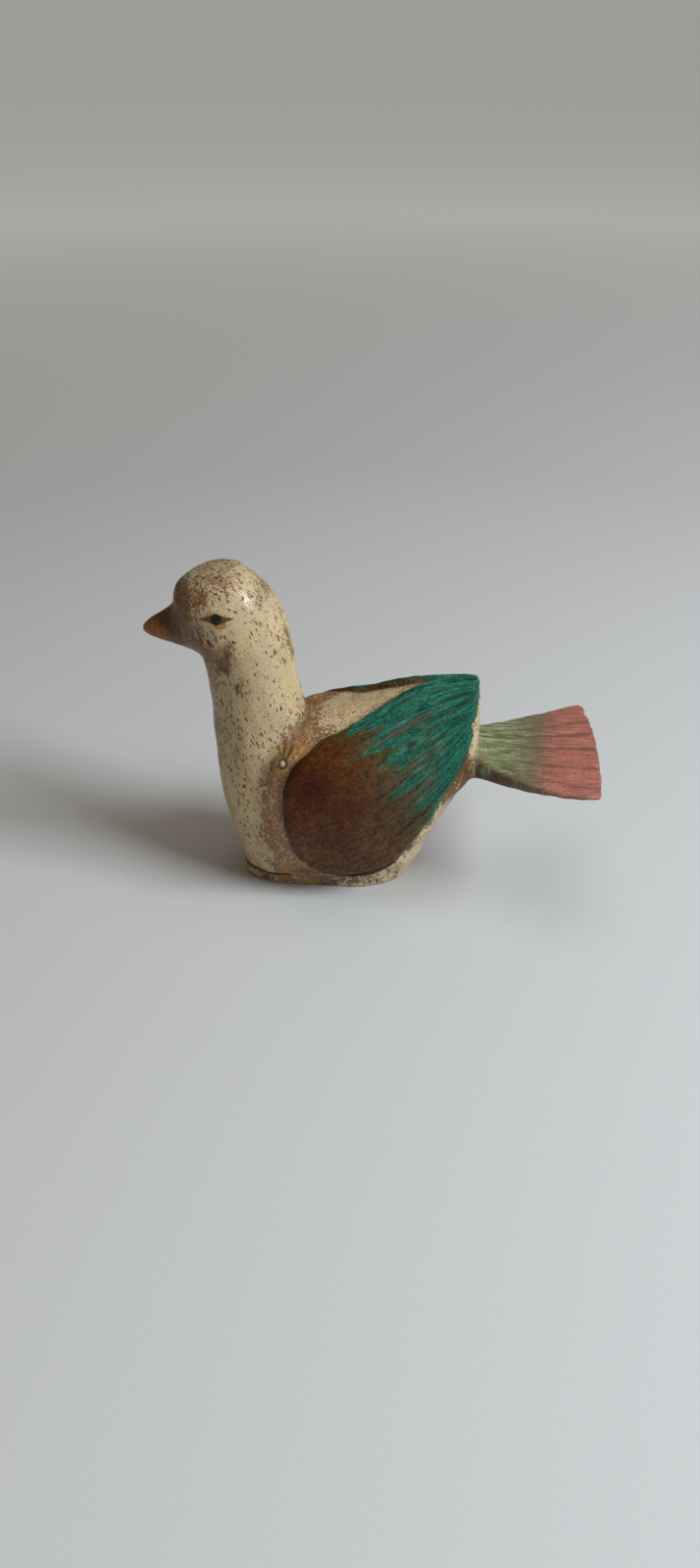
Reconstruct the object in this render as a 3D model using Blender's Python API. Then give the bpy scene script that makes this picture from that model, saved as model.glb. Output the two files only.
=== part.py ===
"""Carved wooden bird: one block with neck, head, beak, folded wings, fanned tail and a flat oval foot.

Sizes are in millimetres in the tables and metres in the model. X runs from beak (-) to tail (+), Y across, Z up.
The tables use the middle of the foot as X = 0; the finished solid is moved so that the middle of its outline
in plan is the origin.
"""

import bpy
import bmesh
import math
import numpy as np

MM = 0.001

# ------------------------------------------------------------------ driving sizes
HEAD_TOP = 103.0                 # height of the crown
HEAD_TOP_X = -26.7
# neck and head: height, front x, back x, half width
COLUMN = [
    (0.0, -24.2, 5.0, 8.3), (4.6, -24.8, 3.0, 9.5), (11.3, -26.0, 0.0, 11.2), (20.6, -28.2, -3.0, 13.0),
    (32.0, -30.6, -4.3, 14.2), (45.0, -31.5, -3.8, 14.0), (52.0, -31.9, -4.0, 13.2), (58.0, -32.0, -4.6, 12.5),
    (65.0, -32.3, -5.9, 11.9), (70.0, -32.7, -6.8, 11.8), (73.0, -33.0, -7.3, 11.8), (76.0, -33.7, -7.6, 11.9),
    (79.5, -35.3, -8.0, 12.4), (84.0, -39.4, -9.0, 13.2), (89.0, -41.2, -10.5, 13.4), (93.0, -41.0, -12.5, 12.8),
    (96.5, -39.8, -15.0, 11.6), (99.3, -37.2, -17.6, 9.6), (101.3, -33.6, -20.4, 7.0), (102.5, -30.1, -23.2, 3.9),
]
# beak: x, middle height, half height, half width, from inside the head to the tip
BEAK = [(-34.0, 85.4, 8.3, 8.4), (-38.5, 85.3, 6.9, 7.0), (-41.5, 84.8, 5.6, 5.3), (-44.0, 84.1, 4.4, 3.9),
        (-46.5, 83.5, 3.1, 2.7), (-48.8, 83.2, 1.8, 1.7)]
BEAK_TIP = (-50.2, 83.0)
# side outline of the body: x, height of the back, the rear face, the rump and the foot
BODY = [(-22, -14), (-22, 20), (-20, 38), (-16, 48), (-11, 53.5), (-4, 57.4), (0, 58.2), (5, 59.4), (11, 61.4),
        (17, 63.8), (23, 66.2), (28, 68.1), (34, 69.2), (40, 69.8), (44.0, 69.8), (45.0, 69.0), (45.5, 65),
        (45.6, 58), (45.6, 50), (44.9, 43.5), (43.7, 38.8), (41.3, 35.0), (38.7, 30.2), (36.8, 26.5),
        (34.9, 22.8), (33.3, 19.0), (31.9, 15.2), (30.5, 11.4), (28.6, 7.4), (26.3, 3.4), (23.9, -0.5),
        (20.5, -6), (16, -14)]
# half width of the body: one row for each height, one value for each x
WIDTH_X = [-20, -8, 0, 10, 20, 30, 38, 46]
WIDTH_Z = [-6, 0, 10, 20, 32, 42, 50, 56, 62, 67, 72]
WIDTH = [
    [5.8, 7.4, 8.2, 8.2, 7.2, 6.8, 6.8, 6.8],
    [7.0, 8.2, 8.8, 8.8, 7.9, 7.4, 7.4, 7.4],
    [11.5, 12.6, 12.6, 12.2, 11.2, 10.6, 10.0, 9.0],
    [13.5, 15.2, 15.2, 14.8, 13.8, 12.4, 11.0, 9.5],
    [15.0, 17.2, 17.3, 16.8, 15.4, 13.6, 11.6, 9.6],
    [15.0, 18.0, 18.0, 17.0, 15.2, 13.2, 11.2, 9.4],
    [13.5, 17.6, 17.4, 15.6, 13.0, 11.0, 9.6, 8.0],
    [11.0, 16.0, 15.4, 13.2, 10.6, 8.8, 7.4, 5.8],
    [8.0, 12.0, 11.5, 10.4, 8.0, 6.4, 5.2, 4.0],
    [6.0, 8.0, 8.0, 7.4, 5.6, 4.0, 3.0, 2.4],
    [5.0, 6.0, 6.0, 5.0, 4.0, 2.6, 1.8, 1.4],
]
# tail fan: x, half width on -Y, half width on +Y, height of the top, thickness in the middle, thickness at the edge
TAIL = [(36.0, 7.5, 9.0, 49.2, 12.0, 6.0), (45.5, 9.6, 12.4, 49.0, 7.6, 5.4), (53.5, 15.0, 16.0, 48.8, 6.0, 4.0),
        (60.4, 19.0, 19.6, 48.8, 5.0, 3.2), (66.5, 21.6, 22.8, 48.8, 4.0, 2.4), (72.5, 23.8, 26.2, 49.0, 3.1, 1.8),
        (78.0, 24.4, 29.0, 49.1, 2.5, 1.5), (80.5, 24.2, 28.6, 49.1, 2.2, 1.4)]
TAIL_FLUTES = (-0.77, -0.41, 0.0, 0.31, 0.55)   # where the flutes run, as parts of the half width
TAIL_FLUTE_DEPTH = 0.55
# folded wing seen from the side: a leaf with its tip at the rear
WING = [(44.6, 71.4), (45.5, 69.8), (45.4, 66.8), (44.9, 63.5), (44.7, 60.9), (43.1, 58.8), (43.6, 56.9),
        (43.2, 54.5), (41.3, 48.1), (38.8, 42.9), (36.2, 38.3), (33.1, 31.5), (30.4, 26.0), (27.6, 21.1),
        (24.8, 17.8), (21.9, 15.2), (16.0, 11.9), (11.5, 10.4), (7.1, 9.8), (1.1, 11.0), (-4.1, 14.1),
        (-7.3, 18.7), (-9.2, 26.6), (-9.8, 34.7), (-9.3, 41.6), (-7.7, 46.8), (-5.2, 50.9), (-1.1, 55.0),
        (2.1, 57.3), (6.1, 59.0), (12.7, 62.3), (20.6, 66.6), (26.0, 69.0), (31.3, 70.5), (36.8, 71.2), (41.5, 71.6)]
WING_RELIEF = 2.2                # how far the wing stands off the body
# half width of the sunk back between the wings: x, half width
BACK = [(-14, 17.0), (-3, 17.0), (0, 14.6), (5, 12.4), (11, 9.6), (17, 6.4), (23, 3.4), (28, 1.4), (31, 0.3)]
# feather flutes on each wing: part of the way from the upper to the lower edge, where along the leaf they start
FEATHERS = [(0.16, 0.50), (0.32, 0.42), (0.48, 0.46), (0.64, 0.44), (0.80, 0.36)]
FLUTE_R = 1.3                    # radius of the gouge
FLUTE_DEPTH = 0.55
# the groove above the foot
FOOT_GROOVE_Z = 4.4
FOOT_GROOVE_R = 1.1

for obj in list(bpy.data.objects):
    bpy.data.objects.remove(obj, do_unlink=True)


# ------------------------------------------------------------------ curves through the stations
def through(xs, ys, x):
    """monotone cubic curve through stations"""
    xs = np.asarray(xs, float)
    ys = np.asarray(ys, float)
    h = np.diff(xs)
    d = np.diff(ys) / h
    m = np.zeros(len(xs))
    for i in range(1, len(xs) - 1):
        if d[i - 1] * d[i] > 0:
            w1 = 2 * h[i] + h[i - 1]
            w2 = h[i] + 2 * h[i - 1]
            m[i] = (w1 + w2) / (w1 / d[i - 1] + w2 / d[i])
    m[0], m[-1] = d[0], d[-1]
    x = np.clip(x, xs[0], xs[-1])
    k = np.clip(np.searchsorted(xs, x, side="right") - 1, 0, len(xs) - 2)
    t = (x - xs[k]) / h[k]
    return (ys[k] * (1 + 2 * t) * (1 - t) ** 2 + m[k] * h[k] * t * (1 - t) ** 2
            + ys[k + 1] * t * t * (3 - 2 * t) + m[k + 1] * h[k] * t * t * (t - 1))


def smooth_outline(points, n):
    """closed outline through the points, n steps for each side"""
    P = np.asarray(points, float)
    count = len(P)
    out = []
    for i in range(count):
        p0, p1, p2, p3 = P[i - 1], P[i], P[(i + 1) % count], P[(i + 2) % count]
        a, b, c = (math.sqrt(np.linalg.norm(q)) + 1e-9 for q in (p1 - p0, p2 - p1, p3 - p2))
        m1 = ((p2 - p1) / b - (p2 - p0) / (a + b) + (p1 - p0) / a) * b
        m2 = ((p2 - p1) / b - (p3 - p1) / (b + c) + (p3 - p2) / c) * b
        for k in range(n):
            t = k / n
            out.append(p1 * (1 + 2 * t) * (1 - t) ** 2 + m1 * t * (1 - t) ** 2
                       + p2 * t * t * (3 - 2 * t) + m2 * t * t * (t - 1))
    return np.array(out)


BODY_OUTLINE = smooth_outline(BODY, 4)
WING_OUTLINE = smooth_outline(WING, 2)


def depth_inside(x, z):
    """distance from the body's side outline, positive inside"""
    best = np.full(np.shape(x), 1e9)
    inside = np.zeros(np.shape(x), bool)
    for (ax, az), (bx, bz) in zip(BODY_OUTLINE, np.roll(BODY_OUTLINE, -1, 0)):
        ex, ez = bx - ax, bz - az
        t = np.clip(((x - ax) * ex + (z - az) * ez) / (ex * ex + ez * ez), 0, 1)
        best = np.minimum(best, (x - ax - t * ex) ** 2 + (z - az - t * ez) ** 2)
        if ez != 0:
            inside ^= ((az > z) != (bz > z)) & (x < ex * (z - az) / ez + ax)
    return np.where(inside, 1, -1) * np.sqrt(best)


def body_half_width(x, z, grow=0.0):
    """half width of the body at x, z; grow stands the surface off by that much"""
    x = np.asarray(x, float)
    z = np.asarray(z, float)
    rows = np.stack([through(WIDTH_X, row, x) for row in WIDTH])
    width = np.array([through(WIDTH_Z, rows[:, i], z[i]) for i in range(len(z))])
    belly = np.clip((52 - z) / 30, 0, 1)
    belly = belly * belly * (3 - 2 * belly)
    edge = (4.0 + 9.0 * belly) * np.clip(1 - (x - 40) / 12, 0.45, 1)
    u = np.clip((edge - depth_inside(x, z)) / (edge + grow), 0, 1)
    return (width + grow) * (1 - u ** 2.2) ** (1 / 2.2)


# ------------------------------------------------------------------ making solids
def add_mesh(name, bm, collection):
    bmesh.ops.recalc_face_normals(bm, faces=bm.faces)
    mesh = bpy.data.meshes.new(name)
    bm.to_mesh(mesh)
    bm.free()
    obj = bpy.data.objects.new(name, mesh)
    collection.objects.link(obj)
    return obj


def loft(name, rings, collection, tip=None):
    """closed solid through rings that hold the same number of points (mm); tip closes the last ring to a point"""
    bm = bmesh.new()
    loops = [[bm.verts.new([c * MM for c in p]) for p in ring] for ring in rings]
    count = len(loops[0])
    for a, b in zip(loops[:-1], loops[1:]):
        for i in range(count):
            j = (i + 1) % count
            bm.faces.new((a[i], a[j], b[j], b[i]))
    bm.faces.new(loops[0][::-1])
    if tip is None:
        bm.faces.new(loops[-1])
    else:
        point = bm.verts.new([c * MM for c in tip])
        for i in range(count):
            bm.faces.new((loops[-1][i], loops[-1][(i + 1) % count], point))
    return add_mesh(name, bm, collection)


def boolean(target, cutter, operation):
    modifier = target.modifiers.new(operation.lower(), "BOOLEAN")
    modifier.operation = operation
    modifier.solver = "EXACT"
    modifier.object = cutter
    bpy.context.view_layer.update()
    mesh = bpy.data.meshes.new_from_object(target.evaluated_get(bpy.context.evaluated_depsgraph_get()))
    target.modifiers.clear()
    old = target.data
    target.data = mesh
    bpy.data.meshes.remove(old)


def curve_solid(name, splines, collection, extrude=0.0, bevel=0.0, closed=False, resolution=2):
    """a flat outline with a thickness, or a round bar along a line, as a mesh"""
    curve = bpy.data.curves.new(name, "CURVE")
    flat = extrude > 0
    curve.dimensions = "2D" if flat else "3D"
    if flat:
        curve.fill_mode = "BOTH"
        curve.extrude = extrude * MM
    else:
        curve.fill_mode = "FULL"
        curve.bevel_depth = bevel * MM
        curve.bevel_resolution = resolution
        curve.use_fill_caps = not closed
    for points in splines:
        spline = curve.splines.new("POLY")
        spline.points.add(len(points) - 1)
        for point, p in zip(spline.points, points):
            point.co = (p[0] * MM, p[1] * MM, (p[2] if len(p) > 2 else 0.0) * MM, 1.0)
        spline.use_cyclic_u = closed or flat
    holder = bpy.data.objects.new(name + "_line", curve)
    collection.objects.link(holder)
    bpy.context.view_layer.update()
    mesh = bpy.data.meshes.new_from_object(holder.evaluated_get(bpy.context.evaluated_depsgraph_get()))
    bpy.data.objects.remove(holder, do_unlink=True)
    bm = bmesh.new()
    bm.from_mesh(mesh)
    bmesh.ops.remove_doubles(bm, verts=bm.verts, dist=0.00001)
    bpy.data.meshes.remove(mesh)
    return add_mesh(name, bm, collection)


bird_parts = bpy.data.collections.new("wooden_bird_object")
cutters = bpy.data.collections.new("cutters")
bpy.context.scene.collection.children.link(bird_parts)
bpy.context.scene.collection.children.link(cutters)


# ------------------------------------------------------------------ body
def body_rings(grow, xs, half=20):
    rings = []
    zs = np.arange(-16.0, 76.0, 0.1)
    for x in xs:
        s = depth_inside(np.full(zs.shape, x), zs) + grow
        hit = np.nonzero(s > 0)[0]
        lo, hi = zs[hit[0]], zs[hit[-1]]
        angle = np.linspace(0, math.pi, half + 1)
        z = (lo + hi) / 2 - (hi - lo) / 2 * np.cos(angle)
        y = body_half_width(np.full(z.shape, x), z, grow)
        y[0] = y[-1] = 0.0
        y[1:-1] = np.maximum(y[1:-1], 0.25)
        rings.append([(x, -b, a) for a, b in zip(z, y)] + [(x, b, a) for a, b in zip(z[-2:0:-1], y[-2:0:-1])])
    return rings


body_x = [-21.2, -19, -16, -12.5] + list(np.arange(-9, 43, 3.0)) + [43.6, 44.6, 45.3]
body = loft("wooden_bird", body_rings(0.0, body_x), bird_parts)

# neck and head: flattened rings up to the crown
crown = [(HEAD_TOP, HEAD_TOP_X, HEAD_TOP_X, 0.0)] + COLUMN[::-1]
root = [math.sqrt(HEAD_TOP - c[0]) for c in crown]


def column_ring(z, count=32):
    q = math.sqrt(max(HEAD_TOP - z, 0.0))
    front, back, width = (float(through(root, [c[i] for c in crown], q)) for i in (1, 2, 3))
    middle, length = (front + back) / 2, (back - front) / 2
    power = 2 / 2.05
    ring = []
    for i in range(count):
        a = 2 * math.pi * i / count
        c, s = math.cos(a), math.sin(a)
        ring.append((middle + length * math.copysign(abs(c) ** power, c), width * math.copysign(abs(s) ** power, s), z))
    return ring


column_z = [-4, 0, 5, 10, 16, 23, 31, 39, 46, 53, 60, 66, 71, 74.5, 77.5, 80.5, 83.5, 87, 90.5, 93.5, 96, 98, 99.7, 101, 102, 102.7]
column = loft("neck", [column_ring(z) for z in column_z], cutters, tip=(HEAD_TOP_X, 0.0, HEAD_TOP))

# beak: oval rings that close on the tip
beak = loft("beak", [[(x, w * math.cos(a), zc + h * math.sin(a)) for a in (2 * math.pi * i / 18 for i in range(18))]
                     for x, zc, h, w in BEAK], cutters, tip=(BEAK_TIP[0], 0.0, BEAK_TIP[1]))

# tail: a thin fan, thick at the root, with shallow flutes along the top
def tail_ring(x, across=41):
    near, far, top, mid, edge = (float(through([t[0] for t in TAIL], [t[i] for t in TAIL], x)) for i in (1, 2, 3, 4, 5))
    fade = min(max((x - 47) / 8, 0), 1)
    upper, lower = [], []
    for v in np.linspace(-1, 1, across):
        y = v * (near if v < 0 else far)
        sag = 0.7 * v * v * min(max((x - 50) / 30, 0), 1) + 0.9 * abs(v) ** 3
        flute = sum(max(0.0, 1 - abs(v - f) / 0.07) for f in TAIL_FLUTES) * TAIL_FLUTE_DEPTH * fade
        upper.append((x - 0.0025 * y * y * (x > 79), y, top - sag - flute))
    for v in np.linspace(1, -1, 13):
        y = v * (near if v < 0 else far)
        lower.append((x - 0.0025 * y * y * (x > 79), y, top - mid + (mid - edge - 0.7) * v * v - 0.2))
    return upper + lower


tail = loft("tail", [tail_ring(x) for x in (37, 42, 46, 49, 53, 57, 61.5, 66, 70.5, 75, 78, 80.5)], cutters)

# wings: the body stood off by the relief, kept inside the leaf outline and outside the sunk back
wings = loft("wings", body_rings(WING_RELIEF, [-16.5, -13.5, -11.5] + list(np.arange(-10, 43, 2.65)) + [43, 44.4, 45.7, 46.6], 22), cutters)
leaf = curve_solid("leaf", [[(x, z) for x, z in WING_OUTLINE]], cutters, extrude=30.0)
leaf.rotation_euler = (math.pi / 2, 0.0, 0.0)
boolean(wings, leaf, "INTERSECT")
back_x = np.linspace(-14, 31, 16)
back_w = through([b[0] for b in BACK], [b[1] for b in BACK], back_x)
sunk = curve_solid("sunk_back", [[(x, -w) for x, w in zip(back_x, back_w)] + [(x, w) for x, w in zip(back_x[::-1], back_w[::-1])]],
                   cutters, extrude=60.0)
sunk.location.z = 60.0 * MM
boolean(wings, sunk, "DIFFERENCE")

# feather flutes: gouged along lines that run from the front of the leaf to its rear edge
tip = WING_OUTLINE[0]
split = int(np.argmin(WING_OUTLINE[:, 0]))
lower_edge = WING_OUTLINE[:split + 1][::-1]
upper_edge = np.vstack([WING_OUTLINE[split:], WING_OUTLINE[:1]])


def along(line, t):
    length = np.concatenate([[0], np.cumsum(np.linalg.norm(np.diff(line, axis=0), axis=1))])
    return np.stack([np.interp(t * length[-1], length, line[:, i]) for i in (0, 1)], -1)


for part, start in FEATHERS:
    t = np.linspace(start, 0.94, 14)
    path = (1 - part) * along(upper_edge, t) + part * along(lower_edge, t)
    y = body_half_width(path[:, 0], path[:, 1], WING_RELIEF)
    lift = FLUTE_R - FLUTE_DEPTH * np.clip((t - start) / 0.12, 0, 1)
    for side in (-1, 1):
        gouge = curve_solid("feather", [[(px, side * (w + r), pz) for (px, pz), w, r in zip(path, y, lift)]],
                            cutters, bevel=FLUTE_R, resolution=1)
        boolean(wings, gouge, "DIFFERENCE")
        bpy.data.objects.remove(gouge, do_unlink=True)

for piece in (column, wings, tail, beak):
    boolean(body, piece, "UNION")

# groove above the foot, round the front and along both sides to the wings
ring = [p for p in column_ring(FOOT_GROOVE_Z, 48) if p[0] < -9.5]
ring.sort(key=lambda p: math.atan2(p[1], -(p[0] + 9.5)))
middle = np.array([-9.5, 0.0])
path = []
for p in ring:
    d = np.array(p[:2]) - middle
    d = d / np.linalg.norm(d)
    path.append((p[0] + d[0] * 0.45, p[1] + d[1] * 0.45, FOOT_GROOVE_Z))
groove = curve_solid("foot_groove", [path], cutters, bevel=FOOT_GROOVE_R, resolution=1)
boolean(body, groove, "DIFFERENCE")

# flat underside
bm = bmesh.new()
bmesh.ops.create_cube(bm, size=1.0)
floor_block = add_mesh("floor_block", bm, cutters)
floor_block.dimensions = (0.3, 0.2, 0.03)
floor_block.location = (0.0, 0.0, -0.015)
boolean(body, floor_block, "DIFFERENCE")

# ------------------------------------------------------------------ finished solid
bm = bmesh.new()
bm.from_mesh(body.data)
bmesh.ops.remove_doubles(bm, verts=bm.verts, dist=0.00005)
bmesh.ops.dissolve_degenerate(bm, edges=bm.edges, dist=0.00002)
bmesh.ops.triangulate(bm, faces=bm.faces)
low = [min(v.co[i] for v in bm.verts) for i in range(3)]
high = [max(v.co[i] for v in bm.verts) for i in range(3)]
shift = ((low[0] + high[0]) / 2, (low[1] + high[1]) / 2, low[2])
for v in bm.verts:
    for i in range(3):
        v.co[i] -= shift[i]
bm.to_mesh(body.data)
bm.free()
for polygon in body.data.polygons:
    polygon.use_smooth = True
body.data.set_sharp_from_angle(angle=math.radians(35))

for obj in list(cutters.objects):
    obj.hide_render = True
    obj.display_type = "WIRE"

paint = bpy.data.materials.new("aged_painted_wood")
paint.use_nodes = True
shader = paint.node_tree.nodes["Principled BSDF"]
shader.inputs["Base Color"].default_value = (0.47, 0.42, 0.29, 1.0)
shader.inputs["Roughness"].default_value = 0.45
shader.inputs["Metallic"].default_value = 0.0
body.data.materials.clear()
body.data.materials.append(paint)
print("triangles", len(body.data.polygons), "shift mm", [round(s / MM, 3) for s in shift],
      "size mm", [round((h - l) / MM, 2) for h, l in zip(high, low)])
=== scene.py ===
import math

import bpy
import numpy as np
from mathutils import Matrix, Vector


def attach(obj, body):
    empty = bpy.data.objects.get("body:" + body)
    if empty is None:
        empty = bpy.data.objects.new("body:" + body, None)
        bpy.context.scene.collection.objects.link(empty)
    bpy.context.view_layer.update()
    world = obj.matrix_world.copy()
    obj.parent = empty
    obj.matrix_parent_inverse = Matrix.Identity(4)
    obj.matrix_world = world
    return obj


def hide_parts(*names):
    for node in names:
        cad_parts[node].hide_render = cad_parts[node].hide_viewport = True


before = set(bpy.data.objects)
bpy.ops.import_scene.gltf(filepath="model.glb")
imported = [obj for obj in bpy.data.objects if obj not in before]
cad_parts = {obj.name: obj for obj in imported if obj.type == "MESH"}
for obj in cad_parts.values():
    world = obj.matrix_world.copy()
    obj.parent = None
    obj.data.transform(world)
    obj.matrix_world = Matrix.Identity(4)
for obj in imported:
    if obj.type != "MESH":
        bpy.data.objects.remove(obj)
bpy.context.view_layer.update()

# ==================================================================== sizes, mm
# bird frame: X from beak (-) to tail (+), Y across (+ is the far side), Z up from the table; X = 0 is the middle of the foot
SHIFT = (15.15, 2.3, 0.0)          # the model's origin in the bird frame
GRID = 0.55                        # spacing of the carving's surface points
HEAD_TOP, HEAD_TOP_X = 103.0, -26.7
COLUMN = [                         # neck and head: height, front x, back x, half width
    (0.0, -24.2, 5.0, 8.3), (4.6, -24.8, 3.0, 9.5), (11.3, -26.0, 0.0, 11.2), (20.6, -28.2, -3.0, 13.0),
    (32.0, -30.6, -4.3, 14.2), (45.0, -31.5, -3.8, 14.0), (52.0, -31.9, -4.0, 13.2), (58.0, -32.0, -4.6, 12.5),
    (65.0, -32.3, -5.9, 11.9), (70.0, -32.7, -6.8, 11.8), (73.0, -33.0, -7.3, 11.8), (76.0, -33.7, -7.6, 11.9),
    (79.5, -35.3, -8.0, 12.4), (84.0, -39.4, -9.0, 13.2), (89.0, -41.2, -10.5, 13.4), (93.0, -41.0, -12.5, 12.8),
    (96.5, -39.8, -15.0, 11.6), (99.3, -37.2, -17.6, 9.6), (101.3, -33.6, -20.4, 7.0), (102.5, -30.1, -23.2, 3.9),
]
BEAK = [(-34.0, 85.4, 8.3, 8.4), (-38.5, 85.3, 6.9, 7.0), (-41.5, 84.8, 5.6, 5.3), (-44.0, 84.1, 4.4, 3.9),
        (-46.5, 83.5, 3.1, 2.7), (-48.8, 83.2, 1.8, 1.7)]     # x, middle height, half height, half width
BEAK_TIP = (-50.2, 83.0)
BODY = [(-22, -14), (-22, 20), (-20, 38), (-16, 48), (-11, 53.5), (-4, 57.4), (0, 58.2), (5, 59.4), (11, 61.4),
        (17, 63.8), (23, 66.2), (28, 68.1), (34, 69.2), (40, 69.8), (44.0, 69.8), (45.0, 69.0), (45.5, 65),
        (45.6, 58), (45.6, 50), (44.9, 43.5), (43.7, 38.8), (41.3, 35.0), (38.7, 30.2), (36.8, 26.5),
        (34.9, 22.8), (33.3, 19.0), (31.9, 15.2), (30.5, 11.4), (28.6, 7.4), (26.3, 3.4), (23.9, -0.5),
        (20.5, -6), (16, -14)]
WIDTH_X = [-20, -8, 0, 10, 20, 30, 38, 46]
WIDTH_Z = [-6, 0, 10, 20, 32, 42, 50, 56, 62, 67, 72]
WIDTH = [                          # half width of the body: one row for each height
    [5.8, 7.4, 8.2, 8.2, 7.2, 6.8, 6.8, 6.8],
    [7.0, 8.2, 8.8, 8.8, 7.9, 7.4, 7.4, 7.4],
    [11.5, 12.6, 12.6, 12.2, 11.2, 10.6, 10.0, 9.0],
    [13.5, 15.2, 15.2, 14.8, 13.8, 12.4, 11.0, 9.5],
    [15.0, 17.2, 17.3, 16.8, 15.4, 13.6, 11.6, 9.6],
    [15.0, 18.0, 18.0, 17.0, 15.2, 13.2, 11.2, 9.4],
    [13.5, 17.6, 17.4, 15.6, 13.0, 11.0, 9.6, 8.0],
    [11.0, 16.0, 15.4, 13.2, 10.6, 8.8, 7.4, 5.8],
    [8.0, 12.0, 11.5, 10.4, 8.0, 6.4, 5.2, 4.0],
    [6.0, 8.0, 8.0, 7.4, 5.6, 4.0, 3.0, 2.4],
    [5.0, 6.0, 6.0, 5.0, 4.0, 2.6, 1.8, 1.4],
]
TAIL = [(36.0, 7.5, 9.0, 49.2, 12.0, 6.0), (45.5, 9.6, 12.4, 49.0, 7.6, 5.4), (53.5, 15.0, 16.0, 48.8, 6.0, 4.0),
        (60.4, 19.0, 19.6, 48.8, 5.0, 3.2), (66.5, 21.6, 22.8, 48.8, 4.0, 2.4), (72.5, 23.8, 26.2, 49.0, 3.1, 1.8),
        (78.0, 24.4, 29.0, 49.1, 2.5, 1.5), (84.0, 24.6, 31.0, 49.1, 2.1, 1.3)]
TAIL_END = 80.5
TAIL_FLUTES = ((-0.77, 0.8), (-0.41, 1.0), (0.0, 0.9), (0.31, 1.0), (0.55, 0.8))
WING = [(44.6, 71.4), (45.5, 69.8), (45.4, 66.8), (44.9, 63.5), (44.7, 60.9), (43.1, 58.8), (43.6, 56.9),
        (43.2, 54.5), (41.3, 48.1), (38.8, 42.9), (36.2, 38.3), (33.1, 31.5), (30.4, 26.0), (27.6, 21.1),
        (24.8, 17.8), (21.9, 15.2), (16.0, 11.9), (11.5, 10.4), (7.1, 9.8), (1.1, 11.0), (-4.1, 14.1),
        (-7.3, 18.7), (-9.2, 26.6), (-9.8, 34.7), (-9.3, 41.6), (-7.7, 46.8), (-5.2, 50.9), (-1.1, 55.0),
        (2.1, 57.3), (6.1, 59.0), (12.7, 62.3), (20.6, 66.6), (26.0, 69.0), (31.3, 70.5), (36.8, 71.2), (41.5, 71.6)]
WING_RELIEF = 2.2
BACK = [(-14, 17.0), (-3, 17.0), (0, 14.6), (5, 12.4), (11, 9.6), (17, 6.4), (23, 3.4), (28, 1.4), (33, -1.0), (46, -3.0)]
FEATHER_TOP = [(-9.0, 44.0), (2.1, 57.3), (12.7, 62.3), (26.0, 69.0), (36.8, 71.2), (46.0, 71.5)]      # the highest
FEATHER_LOW = [(-9.0, 15.0), (6.0, 18.5), (14.0, 22.5), (24.0, 30.0), (33.0, 39.0), (40.0, 48.0), (46.0, 58.0)]  # and the lowest feather line
FEATHERS = 10                      # bands between those two
EYE = (-26.7, 92.6)                # x, z of the painted eye
STROKES = [                        # teal brush strokes on a wing, side view: half width at the start, at the end, path
    (0.7, 1.3, (9.2, 59.7), (10.9, 60.8), (12.8, 61.6)), (1.3, 3.0, (12.3, 61.4), (17.0, 63.9), (21.8, 65.6), (26.6, 67.0)),
    (2.6, 1.6, (25.5, 66.9), (33.3, 69.5), (39.3, 70.8), (43.8, 71.0)), (1.8, 2.6, (19.0, 62.3), (22.6, 63.9), (26.7, 65.4), (31.4, 66.8)), (1.5, 1.8, (30.0, 66.6), (36.0, 68.6), (43.5, 69.6)),
    (0.5, 1.5, (14.6, 56.9), (18.6, 58.8), (23.8, 61.6), (30.5, 65.0)), (0.6, 1.5, (13.9, 54.1), (16.3, 54.7), (19.9, 55.6), (23.5, 57.0), (27.6, 58.9)),
    (0.4, 1.2, (18.6, 57.0), (22.0, 58.7), (25.8, 60.6)), (0.6, 0.8, (14.8, 61.2), (16.6, 61.4)),
    (1.6, 1.9, (32.0, 65.4), (39.4, 68.6), (44.5, 70.3)), (1.1, 1.8, (31.0, 61.4), (37.8, 64.9), (44.6, 68.2)),
    (0.9, 1.7, (34.0, 58.2), (39.6, 62.1), (44.9, 65.0)), (0.8, 1.6, (36.0, 55.3), (41.0, 59.2), (44.3, 62.1)),
    (0.9, 1.7, (36.6, 50.2), (40.3, 53.7), (43.1, 56.8)), (1.1, 1.0, (43.4, 57.7), (43.7, 54.3), (42.5, 51.8)),
    (1.3, 1.6, (21.2, 51.6), (23.6, 51.5), (26.4, 52.4)), (0.9, 1.0, (21.8, 49.4), (24.0, 49.6), (26.0, 49.4)),
    (0.7, 1.1, (27.5, 53.3), (30.5, 55.0)), (0.5, 1.2, (21.8, 41.4), (25.2, 43.7), (28.4, 45.6)),
    (0.4, 1.2, (26.1, 33.4), (30.5, 36.7), (34.0, 39.8), (38.4, 44.2)), (0.3, 0.9, (28.6, 36.4), (32.8, 40.0), (37.4, 44.6)),
    (0.4, 1.1, (31.1, 30.0), (33.6, 33.6), (36.2, 38.2)), (0.7, 1.5, (36.8, 43.4), (39.6, 47.6), (42.0, 52.6)), (0.5, 1.3, (32.6, 45.6), (36.6, 49.0), (40.8, 54.4)),
]


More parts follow.
